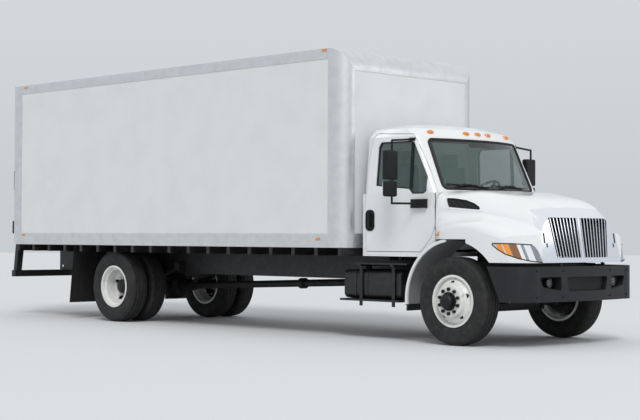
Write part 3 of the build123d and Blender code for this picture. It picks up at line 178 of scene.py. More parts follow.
def tyreRubber():
    # cured carbon-black rubber: matte, greyed where it meets the road
    finish, tree, shader, where = startFinish("tyreRubber", "#1D1D1F", 0.8)
    dust = addNode(tree, "TexNoise", {"Vector": where, "Scale": 14.0, "Detail": 5.0})
    # 2.5 mm mould skin
    skin = addNode(tree, "TexNoise", {"Vector": where, "Scale": 400.0, "Detail": 2.0})
    dress(tree, shader, (skin["Fac"], 0.15, 0.001), (dust["Fac"], "#1A1A1C", "#2F2E2D", 0.4, 0.75))
    return finish


# painted shade inside the wheels: the radius and depth within which the wheels' own faces are painted
# black, and that black
wheelInnerShade = {"radius": 0.232, "frontY": 1.150, "rearY": 0.868, "black": "#1C1C1D"}


def wheelEnamel(name, axleX, shadeY):
    # powder-coated steel disc: even white gloss with a little brake dust; its faces within the drum's
    # radius and behind the disc's face are painted black, painted shade inside the wheel where the dark
    # drum sits
    finish, tree, shader, where = startFinish(name, "#DEDEDA", 0.3)
    dust = addNode(tree, "TexNoise", {"Vector": where, "Scale": 12.0, "Detail": 5.0})
    # 5 mm powder texture
    peel = addNode(tree, "TexNoise", {"Vector": where, "Scale": 180.0})
    paint = dress(tree, shader, (peel["Fac"], 0.05, 0.001),
                  (dust["Fac"], "#E2E2DF", "#CDCCC8", 0.45, 0.8))
    spread = addNode(tree, "Mapping",
                     {"Vector": where, "Location": (-axleX, 0, -axleZ), "Scale": (1, 0, 1)})
    radius = addNode(tree, "VectorMath", {0: spread["Vector"]}, operation="LENGTH")
    split, across = sideways(tree, where)
    # painted shade: black on the wheel's faces within the drum's radius and behind the given depth
    inner = addNode(tree, "Math", {0: radius["Value"], 1: wheelInnerShade["radius"]}, operation="LESS_THAN")
    behind = addNode(tree, "Math", {0: across, 1: shadeY}, operation="LESS_THAN")
    shadedInside = addNode(tree, "Math", {0: inner["Value"], 1: behind["Value"]}, operation="MULTIPLY")
    cover = addNode(tree, "Mix", {"Factor": shadedInside["Value"], 6: paint, 7: hexColor(wheelInnerShade["black"])},
                    data_type="RGBA")
    tree.links.new(cover[2], shader.inputs["Base Color"])
    return finish


def chromePlate():
    # bright chrome over moulded plastic: a mirror with the faintest ripple
    finish, tree, shader, where = startFinish("chromePlate", "#F0F3F9", 0.09, 1.0)
    # 40 mm mould ripple
    ripple = addNode(tree, "TexNoise", {"Vector": where, "Scale": 25.0, "Detail": 1.0})
    dress(tree, shader, (ripple["Fac"], 0.012, 0.002))
    return finish


def grainedPlastic(name, color, worn, grain):
    # injection-moulded polypropylene with a leather-like grain, paler where it is scuffed
    finish, tree, shader, where = startFinish(name, color, 0.55, Specular_IOR_Level=0.3)
    cells = addNode(tree, "TexVoronoi", {"Vector": where, "Scale": grain})
    scuff = addNode(tree, "TexNoise", {"Vector": where, "Scale": 7.0, "Detail": 5.0})
    dress(tree, shader, (cells["Distance"], 0.15, 0.001), (scuff["Fac"], color, worn, 0.5, 0.8))
    return finish


def sheetRubber():
    # calendered rubber sheet: dull black, dusty in streaks down its height
    finish, tree, shader, where = startFinish("sheetRubber", "#141415", 0.75)
    drawn = addNode(tree, "Mapping", {"Vector": where, "Scale": (14.0, 14.0, 2.0)})
    streak = addNode(tree, "TexNoise", {"Vector": drawn["Vector"], "Scale": 1.0, "Detail": 5.0})
    dress(tree, shader, (streak["Fac"], 0.08, 0.002), (streak["Fac"], "#131314", "#262523", 0.45, 0.8))
    return finish


glassTint = {"color": "#5C726D", "alpha": 0.36}


def tintedGlass(name="tintedGlass"):
    # green-tinted laminated glass: clear, with a sharp sky reflection
    finish, tree, shader, where = startFinish(name, glassTint["color"], 0.03, Alpha=glassTint["alpha"])
    shader.inputs["Coat Weight"].default_value = 0.5
    wave = addNode(tree, "TexNoise", {"Vector": where, "Scale": 3.0})   # 0.3 m float wave
    dress(tree, shader, (wave["Fac"], 0.02, 0.002))
    return finish, tree, shader, where


# the windshield's corners from the front, (y, z) from the low right one, and the black band round it,
# which is deeper at the top in the middle, behind the mirror's foot
shieldEdge = {"corners": [(-0.880, 1.850), (0.880, 1.850), (0.850, 2.462), (-0.850, 2.462)],
              "band": 0.040, "black": "#0D0E0F", "footDepth": 0.045, "footHalf": 0.27, "footAbove": 2.2}


def edgedGlass(name):
    # windshield with a fired black ceramic band round its edge
    finish, tree, shader, where = tintedGlass(name)
    corners, band = shieldEdge["corners"], shieldEdge["band"]
    for index, (y, z) in enumerate(corners):
        nextY, nextZ = corners[(index + 1) % len(corners)]
        length = math.hypot(nextY - y, nextZ - z)
        inward = (0, -(nextZ - z) / length, (nextY - y) / length)
        dot = addNode(tree, "VectorMath", {0: where, 1: inward}, operation="DOT_PRODUCT")
        offset = inward[1] * y + inward[2] * z
        away = addNode(tree, "Math", {0: dot["Value"], 1: offset}, operation="SUBTRACT")
        if index:
            away = addNode(tree, "Math", {0: nearest["Value"], 1: away["Value"]}, operation="MINIMUM")
        nearest = away
    split, across = sideways(tree, where)
    middle = addNode(tree, "Math", {0: across, 1: shieldEdge["footHalf"]}, operation="LESS_THAN")
    deeper = addNode(tree, "Math",
                     {0: middle["Value"], 1: shieldEdge["footDepth"], 2: band}, operation="MULTIPLY_ADD")
    top = addNode(tree, "Math", {0: split["Z"], 1: shieldEdge["footAbove"]}, operation="GREATER_THAN")
    depth = addNode(tree, "MapRange",
                    {"Value": top["Value"], "To Min": band, "To Max": deeper["Value"]})
    edge = addNode(tree, "Math", {0: nearest["Value"], 1: depth["Result"]}, operation="LESS_THAN")
    mix = addNode(tree, "Mix", {"Factor": edge["Value"], 6: hexColor(glassTint["color"]),
                                7: hexColor(shieldEdge["black"])}, data_type="RGBA")
    tree.links.new(mix[2], shader.inputs["Base Color"])
    solid = addNode(tree, "MapRange",
                    {"Value": edge["Value"], "To Min": glassTint["alpha"], "To Max": 1.0})
    tree.links.new(solid["Result"], shader.inputs["Alpha"])
    return finish


# cells of the headlamp along x - |y| + slope * z, as shares of its run
# the pale and grey bands are painted reflections of the lamp's chrome bowls, the amber ones the cells'
# own colour
lampCells = {"slope": 0.55, "start": 4.045, "end": 4.859, "bands": [
    (0.0, "#C6CACD"), (0.135, "#F39A1E"), (0.235, "#DADDDF"), (0.255, "#F39A1E"), (0.365, "#6A6F73"),
    (0.385, "#8C5A2B"), (0.52, "#ECEEEF"), (0.595, "#8A9298"), (0.66, "#E4E7E9"), (0.79, "#7F878D"),
    (0.91, "#B9BEC2")]}


def headlampLens():
    # one lamp cover, moulded over four cells: two amber, one brown-amber and the wide bright one; the
    # pale and grey bands are painted reflections of the chrome bowls inside
    finish, tree, shader, where = startFinish("headlampLens", "#9AA2A8", 0.2, 0.1, Coat_Weight=1.0)
    split, across = sideways(tree, where)
    run = addNode(tree, "Math", {0: split["X"], 1: across}, operation="SUBTRACT")
    lean = addNode(tree, "Math",
                   {0: split["Z"], 1: lampCells["slope"], 2: run["Value"]}, operation="MULTIPLY_ADD")
    along = addNode(tree, "MapRange", {"Value": lean["Value"], "From Min": lampCells["start"],
                                       "From Max": lampCells["end"]})
    cells = addNode(tree, "ValToRGB", {"Fac": along["Result"]})
    ramp = cells["Color"].node.color_ramp
    ramp.interpolation = "CONSTANT"
    ramp.elements.remove(ramp.elements[1])
    bands = lampCells["bands"]
    ramp.elements[0].color = hexColor(bands[0][1])
    for place, color in bands[1:]:
        ramp.elements.new(place).color = hexColor(color)
    tree.links.new(cells["Color"], shader.inputs["Base Color"])
    flute = addNode(tree, "TexWave", {"Vector": where, "Scale": 26.0})   # 12 mm optics
    dress(tree, shader, (flute["Fac"], 0.25, 0.002))
    return finish


guardLip = {"y": 1.1385, "flapTop": 0.462, "liner": "#8E9090", "lip": "#E2E4E3", "flap": "#1A1B1C"}


def guardPlastic():
    # grey moulded liner whose outer lip is sprayed white with the cab, over a black flap
    finish, tree, shader, where = startFinish("guardPlastic", guardLip["flap"], 0.5)
    split, across = sideways(tree, where)
    lip = addNode(tree, "Math", {0: across, 1: guardLip["y"]}, operation="GREATER_THAN")
    high = addNode(tree, "Math", {0: split["Z"], 1: guardLip["flapTop"]}, operation="GREATER_THAN")
    skin = addNode(tree, "Mix", {"Factor": lip["Value"], 6: hexColor(guardLip["liner"]),
                                 7: hexColor(guardLip["lip"])}, data_type="RGBA")
    mix = addNode(tree, "Mix", {"Factor": high["Value"], 6: hexColor(guardLip["flap"]), 7: skin[2]},
                  data_type="RGBA")
    tree.links.new(mix[2], shader.inputs["Base Color"])
    # 50 mm ribs
    ribs = addNode(tree, "TexWave", {"Vector": where, "Scale": 6.0}, bands_direction="Y")
    dress(tree, shader, (ribs["Fac"], 0.3, 0.004))
    return finish


def ventMesh():
    # black moulded honeycomb screen, its openings painted near black as painted shade
    finish, tree, shader, where = startFinish("ventMesh", "#161718", 0.6, Specular_IOR_Level=0.2)
    comb = addNode(tree, "TexVoronoi", {"Vector": where, "Scale": 45.0, "Randomness": 0.15},
                   feature="DISTANCE_TO_EDGE")   # 22 mm cells, coarse enough to show
    # painted shade: the cells' middles go near black, the web keeps the screen's dark grey
    dress(tree, shader, (comb["Distance"], 1.0, 0.01),
          (comb["Distance"], "#2C2D30", "#020203", 0.08, 0.16))
    return finish


def amberLens():
    # moulded amber acrylic with vertical flutes inside
    finish, tree, shader, where = startFinish("amberLens", "#E98A1E", 0.18, Coat_Weight=1.0)
    flute = addNode(tree, "TexWave", {"Vector": where, "Scale": 40.0})   # 8 mm flutes
    dress(tree, shader, (flute["Fac"], 0.4, 0.002), (flute["Fac"], "#F0952A", "#C9660E", 0.2, 1.0))
    return finish


def clearLens():
    # polycarbonate cover over the lamp's bowls
    finish, tree, shader, where = startFinish("clearLens", "#AEB6BC", 0.05, Alpha=0.3, Coat_Weight=1.0)
    wave = addNode(tree, "TexNoise", {"Vector": where, "Scale": 20.0})   # 50 mm ripple
    dress(tree, shader, (wave["Fac"], 0.03, 0.001))
    return finish


def seatCloth():
    # flat-woven polyester in dark grey
    finish, tree, shader, where = startFinish("seatCloth", "#2B2C30", 0.9, Sheen_Weight=0.3)
    # 3.5 mm rib, coarser than the real weave so that it shows
    warp = addNode(tree, "TexWave", {"Vector": where, "Scale": 90.0}, bands_direction="Y")
    weft = addNode(tree, "TexWave", {"Vector": where, "Scale": 90.0}, bands_direction="Z")
    both = addNode(tree, "Math", {0: warp["Fac"], 1: weft["Fac"]}, operation="MULTIPLY")
    dress(tree, shader, (both["Value"], 0.3, 0.001), (both["Value"], "#242529", "#3A3B40", 0.0, 1.0))
    return finish


def hardwood():
    # laminated oak strips across the floor, worn by loads
    finish, tree, shader, where = startFinish("hardwood", "#8A6A45", 0.55)
    strip = addNode(tree, "TexWave", {"Vector": where, "Scale": 9.0, "Distortion": 0.6},
                    bands_direction="Y")   # 35 mm strips
    grain = addNode(tree, "Mapping", {"Vector": where, "Scale": (6.0, 90.0, 90.0)})
    figure = addNode(tree, "TexNoise", {"Vector": grain["Vector"], "Scale": 1.0, "Detail": 6.0})
    mixed = addNode(tree, "Math", {0: figure["Fac"], 1: strip["Fac"]}, operation="MULTIPLY")
    dress(tree, shader, (figure["Fac"], 0.2, 0.001), (mixed["Value"], "#6F5232", "#A98558", 0.1, 0.8))
    return finish


def darkSteel():
    # phosphated and painted nuts and hub castings: near black with a dull sheen
    finish, tree, shader, where = startFinish("darkSteel", "#17181A", 0.42, 0.4)
    # 3 mm grit
    grit = addNode(tree, "TexNoise", {"Vector": where, "Scale": 300.0, "Detail": 2.0})
    grease = addNode(tree, "TexNoise", {"Vector": where, "Scale": 30.0, "Detail": 4.0})
    dress(tree, shader, (grit["Fac"], 0.12, 0.001), (grease["Fac"], "#151618", "#2A2A2B", 0.45, 0.8))
    return finish


def silvered():
    # silvered mirror glass
    finish, tree, shader, where = startFinish("silvered", "#DDE1E4", 0.02, 1.0)
    wave = addNode(tree, "TexNoise", {"Vector": where, "Scale": 4.0})   # 0.25 m float wave
    dress(tree, shader, (wave["Fac"], 0.01, 0.001))
    return finish


def flutedLens():
    # pressed lens over a bright bowl, with upright flutes
    finish, tree, shader, where = startFinish("flutedLens", "#34383B", 0.12, 0.3, Coat_Weight=1.0)
    # 10 mm flutes
    flute = addNode(tree, "TexWave", {"Vector": where, "Scale": 30.0}, bands_direction="Y")
    dress(tree, shader, (flute["Fac"], 0.4, 0.002), (flute["Fac"], "#44494C", "#202325", 0.1, 1.0))
    return finish


def rubyLens():
    # red acrylic lens with small prisms
    finish, tree, shader, where = startFinish("rubyLens", "#A31418", 0.15, Coat_Weight=1.0)
    prism = addNode(tree, "TexVoronoi", {"Vector": where, "Scale": 120.0})   # 8 mm prisms
    dress(tree, shader, (prism["Distance"], 0.5, 0.002),
          (prism["Distance"], "#8E0F14", "#C4262A", 0.0, 0.7))
    return finish


finishes = {
    "dark_steel": darkSteel(), "silvered": silvered(), "fluted": flutedLens(), "ruby": rubyLens(),
    "white_paint": coachEnamel(), "panel_white": panelSkin(), "mill_aluminium": millAluminium(),
    "frame_paint": chassisPaint(), "cast_steel": castIron(), "tyre_rubber": tyreRubber(),
    "wheel_enamel": wheelEnamel("wheelEnamel", frontAxleX, wheelInnerShade["frontY"]),
    "chrome_plate": chromePlate(),
    "charcoal_plastic": grainedPlastic("bumperPlastic", "#202124", "#27282B", 700.0),   # 1.4 mm grain
    "black_plastic": grainedPlastic("blackPlastic", "#101112", "#1B1C1D", 900.0),
    "dash_plastic": grainedPlastic("dashVinyl", "#3A3B3D", "#444547", 500.0),
    "black_rubber": sheetRubber(), "tinted_glass": tintedGlass()[0], "amber_lens": amberLens(),
    "lamp_lens": clearLens(), "seat_cloth": seatCloth(), "floor_oak": hardwood(),
}
finishes["tank_paint"] = finishes["frame_paint"]
finishes["radiator_core"] = finishes["cast_steel"]
finishes["rear_wheels"] = wheelEnamel("rearWheelEnamel", rearAxleX, wheelInnerShade["rearY"])
finishes["headlamps"] = headlampLens()
finishes["windshield"] = edgedGlass("windshieldGlass")
finishes["splash_guards"] = guardPlastic()
finishes["hood_vents"] = ventMesh()
# the darkest black, for the bumper's recess screens and the chrome's slots, is painted shade
finishes["recess"] = grainedPlastic("recessPlastic", "#08090A", "#101112", 900.0)
slotOf = {row["node"]: row["material_slot"] for row in frame["record"]["subparts"]}
for name, thing in nodes.items():
    thing.data.materials.clear()
    own = "rear_wheels" if name.startswith("rear_") and name.endswith("_wheels") else name
    thing.data.materials.append(finishes.get(own) or finishes[slotOf[name]])
print("finishes ready")

# tools for the pieces

bothSides = ((1, "left"), (-1, "right"))


def clearAll():
    bpy.ops.object.select_all(action="DESELECT")


def selectOnly(things):
    clearAll()
    for thing in things:
        thing.select_set(True)
    bpy.context.view_layer.objects.active = things[0]


def joined(things):
    selectOnly(things)
    if len(things) > 1:
        bpy.ops.object.join()
    return bpy.context.object


def pickAll():
    bpy.ops.mesh.select_all(action="SELECT")


def openMesh():
    bpy.ops.object.mode_set(mode="EDIT")
    pickAll()
    return bmesh.from_edit_mesh(bpy.context.object.data)


def closeMesh(outward=False):
    # outward turns every face out first
    if outward:
        pickAll()
        bpy.ops.mesh.normals_make_consistent(inside=False)
    bpy.ops.object.mode_set(mode="OBJECT")


def pickFaces(shape, wanted):
    bpy.ops.mesh.select_all(action="DESELECT")
    bpy.context.tool_settings.mesh_select_mode = (False, False, True)
    for face in shape.faces:
        face.select_set(wanted(face.calc_center_median(), face.normal))
    shape.select_flush_mode()


def settle(thing, name, body, slot, finish=None, angle=35):
    # origin at the truck's origin, own mesh, finish and body
    selectOnly([thing])
    bpy.ops.object.transform_apply(location=True, rotation=True, scale=True)
    bpy.ops.object.shade_smooth_by_angle(angle=math.radians(angle))
    thing.name = name
    thing.data.name = name
    thing.data.materials.clear()
    thing.data.materials.append(finish or finishes[slot])
    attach(thing, body)
    return thing


def copyTo(model, places):
    # one copy of the model at each (point, outward direction), joined; the model points along +Z
    copies = []
    for point, out in places:
        made = model.copy()
        made.data = model.data.copy()
        bpy.context.collection.objects.link(made)
        turn = Vector(out).to_track_quat("Z", "Y").to_matrix().to_4x4()
        made.data.transform(Matrix.Translation(Vector(point)) @ turn)
        copies.append(made)
    return joined(copies)


def dropModel(model):
    bpy.data.objects.remove(model)


def spunShape(profile, centre, steps, axis="Y", side=1):
    # a closed outline of (radius, distance along the axis) spun into a solid
    clearAll()
    bpy.ops.mesh.primitive_circle_add(vertices=len(profile), radius=0.1)
    thing = bpy.context.object
    shape = openMesh()
    shape.verts.ensure_lookup_table()
    cx, cy, cz = centre
    for vert, (radius, along) in zip(shape.verts, profile):
        along *= side
        vert.co = {"X": (cx + along, cy, cz + radius), "Y": (cx, cy + along, cz + radius),
                   "Z": (cx + radius, cy, cz + along)}[axis]
    bmesh.update_edit_mesh(thing.data)
    line = {"X": (1, 0, 0), "Y": (0, 1, 0), "Z": (0, 0, 1)}[axis]
    bpy.ops.mesh.spin(steps=steps, angle=2 * math.pi, center=centre, axis=line)
    pickAll()
    bpy.ops.mesh.remove_doubles(threshold=0.00005)
    bpy.ops.mesh.delete_loose()
    closeMesh(outward=True)
    return thing


def tubeAlong(points, radius):
    # a round bar bent smoothly through a few points
    clearAll()
    bpy.ops.curve.primitive_nurbs_path_add()
    thing = bpy.context.object
    thing.data.splines.clear()
    run = thing.data.splines.new("NURBS")
    run.points.add(len(points) - 1)
    for spot, point in zip(run.points, points):
        spot.co = (*point, 1.0)
    run.order_u = 3
    run.use_endpoint_u = True
    thing.data.bevel_depth = radius
    thing.data.bevel_resolution = 3
    thing.data.use_fill_caps = True
    thing.data.resolution_u = 8
    bpy.ops.object.convert(target="MESH")
    return bpy.context.object


def roundedBox(low, high, edge, segments=2):
    # a box between two corners with its edges rolled over
    clearAll()
    middle = [(a + b) / 2 for a, b in zip(low, high)]
    size = [abs(b - a) for a, b in zip(low, high)]
    bpy.ops.mesh.primitive_cube_add(size=1, location=middle, scale=size)
    thing = bpy.context.object
    bpy.ops.object.transform_apply(location=True, rotation=True, scale=True)
    openMesh()
    bpy.ops.mesh.bevel(offset=edge, segments=segments, affect="EDGES")
    closeMesh()
    return thing


def touch(node, start, way):
    # where a line from start first meets a node of the truck, and which way it faces there
    hit, place, normal = nodes[node].ray_cast(Vector(start), Vector(way))[:3]
    if not hit:
        print("missed", node, start)
        return Vector(start), -Vector(way)
    return place, normal


def fromFront(node, y, z):
    # the same from straight ahead of the truck
    return touch(node, (9, y, z), (-1, 0, 0))


def sealRound(node, wanted, thickness, name, body):
    # a rubber bead that follows the edge of a node's outer skin
    selectOnly([nodes[node]])
    bpy.ops.object.duplicate()
    thing = bpy.context.object
    for key in list(thing.keys()):
        del thing[key]
    bpy.ops.object.parent_clear(type="CLEAR_KEEP_TRANSFORM")
    openMesh()
    bpy.ops.mesh.remove_doubles(threshold=0.0002)
    pickFaces(bmesh.from_edit_mesh(thing.data), lambda place, out: not wanted(place, out))
    bpy.ops.mesh.delete(type="FACE")
    pickAll()
    bpy.ops.mesh.region_to_loop()
    bpy.ops.mesh.select_all(action="INVERT")
    bpy.ops.mesh.delete(type="EDGE")
    pickAll()
    bpy.ops.mesh.delete(type="ONLY_FACE")
    closeMesh()
    bpy.ops.object.convert(target="CURVE")
    bead = bpy.context.object.data
    bead.bevel_depth = thickness
    bead.bevel_resolution = 2
    bpy.ops.object.convert(target="MESH")
    return settle(bpy.context.object, name, body, "black_rubber")


# wheels

tyreShape = {
    "side": [(0.2908, 0.1034), (0.3020, 0.1085), (0.3100, 0.1120), (0.3160, 0.1122), (0.3220, 0.1100),
             (0.3460, 0.1205), (0.3500, 0.1235), (0.3545, 0.1235), (0.3580, 0.1215), (0.3900, 0.1345),
             (0.4200, 0.1372), (0.4500, 0.1362), (0.4720, 0.1320), (0.4780, 0.1332), (0.4840, 0.1290),
             (0.4980, 0.1180)],
    "tread": [(0.5110, 0.1082), (0.5168, 0.0840), (0.5030, 0.0815), (0.5030, 0.0735), (0.5180, 0.0710),
              (0.5195, 0.0350), (0.5050, 0.0320), (0.5050, 0.0240), (0.5200, 0.0215)],
    "frontSteps": 112, "rearSteps": 144,
    "slotDepth": 0.009, "slotEvery": 4, "slotRadius": 0.509, "slotAcross": (0.084, 0.108),
}
wheelPlan = [
    ("front_left", 1, frontAxleX, [1.040]), ("front_right", -1, frontAxleX, [1.040]),
    ("rear_left", 1, rearAxleX, [1.057, 0.705]), ("rear_right", -1, rearAxleX, [1.057, 0.705]),
]


def makeTyre(x, y, lugs):
    half = tyreShape["side"] + tyreShape["tread"]
    profile = half + [(r, -a) for r, a in reversed(half)]
    steps = tyreShape["rearSteps" if lugs else "frontSteps"]
    thing = spunShape(profile, (x, y, axleZ), steps)
    if lugs:
        # cross slots through the shoulder ribs
        low, high = tyreShape["slotAcross"]

        def inSlot(place, out):
            radius = math.hypot(place.x - x, place.z - axleZ)
            turn = math.atan2(place.z - axleZ, place.x - x) / (2 * math.pi) * steps
            inRib = radius > tyreShape["slotRadius"] and low < abs(place.y - y) < high
            return inRib and int(turn + steps) % tyreShape["slotEvery"] == 0
        pickFaces(openMesh(), inSlot)
        bpy.ops.mesh.extrude_region_shrink_fatten(
            TRANSFORM_OT_shrink_fatten={"value": -tyreShape["slotDepth"]})
        closeMesh()
    return thing


def makeNut(radius, height, stud):
    # hexagon nut with a chamfered top and the stud's end standing out of it
    clearAll()
    bpy.ops.mesh.primitive_cylinder_add(vertices=6, radius=radius, depth=height,
                                        location=(0, 0, height / 2))
    thing = bpy.context.object
    bpy.ops.object.transform_apply(location=True)
    shape = openMesh()
    pickFaces(shape, lambda place, out: out.z > 0.9)
    bpy.ops.mesh.inset(thickness=radius * 0.14)
    bpy.ops.transform.translate(value=(0, 0, height * 0.08))
    bpy.ops.mesh.inset(thickness=radius * 0.28)
    bpy.ops.mesh.extrude_region_move(TRANSFORM_OT_translate={"value": (0, 0, stud)})
    pickFaces(shape, lambda place, out: out.z < -0.9)
    bpy.ops.mesh.extrude_region_move(TRANSFORM_OT_translate={"value": (0, 0, 0.0005)})
    closeMesh()
    return thing


hubShapes = {
    "front": [(0.0, 0.2694), (0.046, 0.2694), (0.052, 0.2672), (0.0612, 0.2648), (0.0800, 0.2500),
              (0.0852, 0.2450), (0.0852, 0.2300), (0.0880, 0.2285), (0.0880, 0.2140), (0.0895, 0.1972),
              (0.1000, 0.1962), (0.1098, 0.1946), (0.1098, 0.1765), (0.0, 0.1765)],
    "rear": [(0.0, -0.0030), (0.0600, -0.0050), (0.0860, -0.0180), (0.1006, -0.0250), (0.1006, -0.1310),
             (0.1098, -0.1350), (0.1098, -0.1636), (0.0, -0.1636)],
}
nutShapes = {"nut": (0.0206, 0.0270, 0.006), "bolt": (0.0110, 0.0080, 0.002)}   # radius, height, stud
nutRing = {"radius": 0.1429, "count": 10, "front": 1.216, "rear": 0.892}
# distance from the tyre's middle and radius of the ring of screws round each hub
screwRing = {"front": (0.1965, 0.0985), "rear": (-0.0215, 0.082), "count": 8, "start": 67}


def ringOf(x, y, side, radius, count, start=90):
    spots = []
    for step in range(count):
        turn = math.radians(start + 360 / count * step)
        point = (x + radius * math.cos(turn), side * y, axleZ + radius * math.sin(turn))
        spots.append((point, (0, side, 0)))
    return spots


nut = makeNut(*nutShapes["nut"])
bolt = makeNut(*nutShapes["bolt"])
for name, side, x, rows in wheelPlan:
    kind = name.split("_")[0]
    lugs = kind == "rear"
    body = name + ("_wheels" if lugs else "_wheel")
    tyres = joined([makeTyre(x, side * y, lugs) for y in rows])
    settle(tyres, name + "Tread", body, "tyre_rubber", angle=28)
    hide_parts(name + ("_tyres" if lugs else "_tyre"))
    nuts = copyTo(nut, ringOf(x, nutRing[kind], side, nutRing["radius"], nutRing["count"]))
    hub = spunShape(hubShapes[kind], (x, side * rows[0], axleZ), 48, side=side)
    out, radius = screwRing[kind]
    screws = copyTo(bolt, ringOf(x, rows[0] + out, side, radius, screwRing["count"], screwRing["start"]))
    for thing, label in ((nuts, "Nuts"), (hub, "HubCap"), (screws, "HubBolts")):
        settle(thing, name + label, body, "cast_steel", finishes["dark_steel"])
dropModel(nut)
print("wheels ready")

# cargo body

rivetShape = {"radius": 0.0065, "proud": 0.0028, "pitch": 0.10, "wallPitch": 0.085}
rivetRows = {
    "railZ": (1.152, 1.290, 3.528, 3.618), "railStart": 0.28, "railEnds": 0.30,
    "postX": (0.012, 0.060), "postY": 1.108, "postStart": 1.18, "postCount": 22,
    "wallX": (-8.299, -7.803, -7.286, -6.797, -6.29, -5.788, -5.308, -4.779, -4.287, -3.803, -3.33,
              -2.874, -2.403), "wallStart": 1.345, "wallCount": 25,
    "frontZ": (1.152, 1.290, 3.385, 3.425), "frontStart": -1.05, "frontCount": 22,
}


def makeRivet():
    # domed rivet head: half a small sphere, pressed flat
    clearAll()
    bpy.ops.mesh.primitive_uv_sphere_add(segments=8, ring_count=6, radius=rivetShape["radius"])
    thing = bpy.context.object
    openMesh()
    bpy.ops.mesh.bisect(plane_co=(0, 0, 0), plane_no=(0, 0, 1), clear_inner=True, use_fill=False)
    pickAll()
    bpy.ops.transform.resize(value=(1, 1, rivetShape["proud"] / rivetShape["radius"]),
                             center_override=(0, 0, 0))
    closeMesh()
    return thing


def rivetRow(start, out, count, step):
    thing = copyTo(rivet, [(start, out)])
    row = thing.modifiers.new("row", "ARRAY")
    row.count = count
    row.use_relative_offset = False
    row.use_constant_offset = True
    row.constant_offset_displace = step
    bpy.ops.object.modifier_apply(modifier="row")
    return thing


railLow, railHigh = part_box("body_rails")
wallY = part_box("side_walls")[1].y
postLow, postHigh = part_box("corner_posts")
rivet = makeRivet()
pitch, wallPitch = rivetShape["pitch"], rivetShape["wallPitch"]
railEnds = rivetRows["railEnds"]
railCount = int((railHigh.x - railEnds - railLow.x - railEnds) / pitch)
for side, label in bothSides:
    face, out = side * railHigh.y, (0, side, 0)
    postStart, postCount = rivetRows["postStart"], rivetRows["postCount"]
    rows = [rivetRow((railLow.x + rivetRows["railStart"], face, z), out, railCount, (pitch, 0, 0))
            for z in rivetRows["railZ"]]
    rows += [rivetRow((postLow.x + x, face, postStart), out, postCount, (0, 0, pitch))
             for x in rivetRows["postX"]]
    rows.append(rivetRow((postHigh.x, side * rivetRows["postY"], postStart), (1, 0, 0), postCount,
                         (0, 0, pitch)))
    settle(joined(rows), label + "RailRivets", "chassis", "mill_aluminium")
    rows = [rivetRow((frontAxleX + x, side * wallY, rivetRows["wallStart"]), out, rivetRows["wallCount"],
                     (0, 0, wallPitch)) for x in rivetRows["wallX"]]
    settle(joined(rows), label + "WallRivets", "chassis", "panel_white")
rows = [rivetRow((fromFront("body_rails", 0.0, z)[0].x, rivetRows["frontStart"], z), (1, 0, 0),
                 rivetRows["frontCount"], (0, pitch, 0)) for z in rivetRows["frontZ"]]
settle(joined(rows), "frontRivets", "chassis", "mill_aluminium")
dropModel(rivet)
print("cargo body ready")

# cab glass, seals and divider bars

sealSizes = {"windshield": 0.015, "window": 0.018, "headlamp": 0.006}
windowBar = {"x": frontAxleX - 0.782, "z": (1.86, 2.15, 2.43), "out": 0.002, "radius": 0.012,
             "tubes": (-0.014, 0.0, 0.014)}
cowlSeal = {"x": 3.6510, "y": 1.0335, "z": (1.36, 1.50, 1.66, 1.80), "radius": 0.0042}
sealRound("windshield", lambda place, out: out.x > 0.3, sealSizes["windshield"],
          "windshieldSeal", "chassis")
for side, label in bothSides:
    sealRound(label + "_window", lambda place, out: out.y * side > 0.5, sealSizes["window"],
              label + "WindowSeal", label + "_door")
    line = [touch(label + "_window", (windowBar["x"], side * 2, z), (0, -side, 0))[0]
            + Vector((0, side * windowBar["out"], 0)) for z in windowBar["z"]]
    bar = joined([tubeAlong([p + Vector((dx, 0, 0)) for p in line], windowBar["radius"])
                  for dx in windowBar["tubes"]])
    settle(bar, label + "WindowBar", label + "_door", "black_plastic")
sealRound("headlamps", lambda place, out: out.x + abs(out.y) > 0.6, sealSizes["headlamp"],
          "headlampSeals", "hood")
cowl = [tubeAlong([(cowlSeal["x"], side * cowlSeal["y"], z) for z in cowlSeal["z"]], cowlSeal["radius"])
        for side in (1, -1)]
settle(joined(cowl), "cowlSeals", "chassis", "black_rubber")

# black plate behind the grille, painted shade hiding the view through it, and black patches as painted
# shade in the slots in the chrome beside it

grilleScreen = {"half": (0.003, 0.585, 0.24), "edge": 0.002, "place": (4.918, 0, 1.262), "lean": -11.4}
half = grilleScreen["half"]
screen = roundedBox([-h for h in half], half, grilleScreen["edge"])
screen.data.transform(Matrix.Translation(grilleScreen["place"])
                      @ Matrix.Rotation(math.radians(grilleScreen["lean"]), 4, "Y"))
settle(screen, "grilleScreen", "hood", "black_plastic")
# y, z, half width and half height of each slot
chromeSlots = {"plan": [(0.706, 1.262, 0.014, 0.058), (0.668, 1.177, 0.012, 0.024)],
               "sunk": 0.002, "proud": 0.0012, "edge": 0.0008}
slits = []
for y, z, half, tall in chromeSlots["plan"]:
    slit = roundedBox((-half, -tall, -chromeSlots["sunk"]), (half, tall, chromeSlots["proud"]),
                      chromeSlots["edge"])
    slits.append(copyTo(slit, [fromFront("grille", side * y, z) for side in (1, -1)]))
    dropModel(slit)
# the slots' patches take the darkest black, painted shade in the openings
settle(joined(slits), "surroundSlots", "hood", "black_plastic", finishes["recess"])

# liners over the front wheels

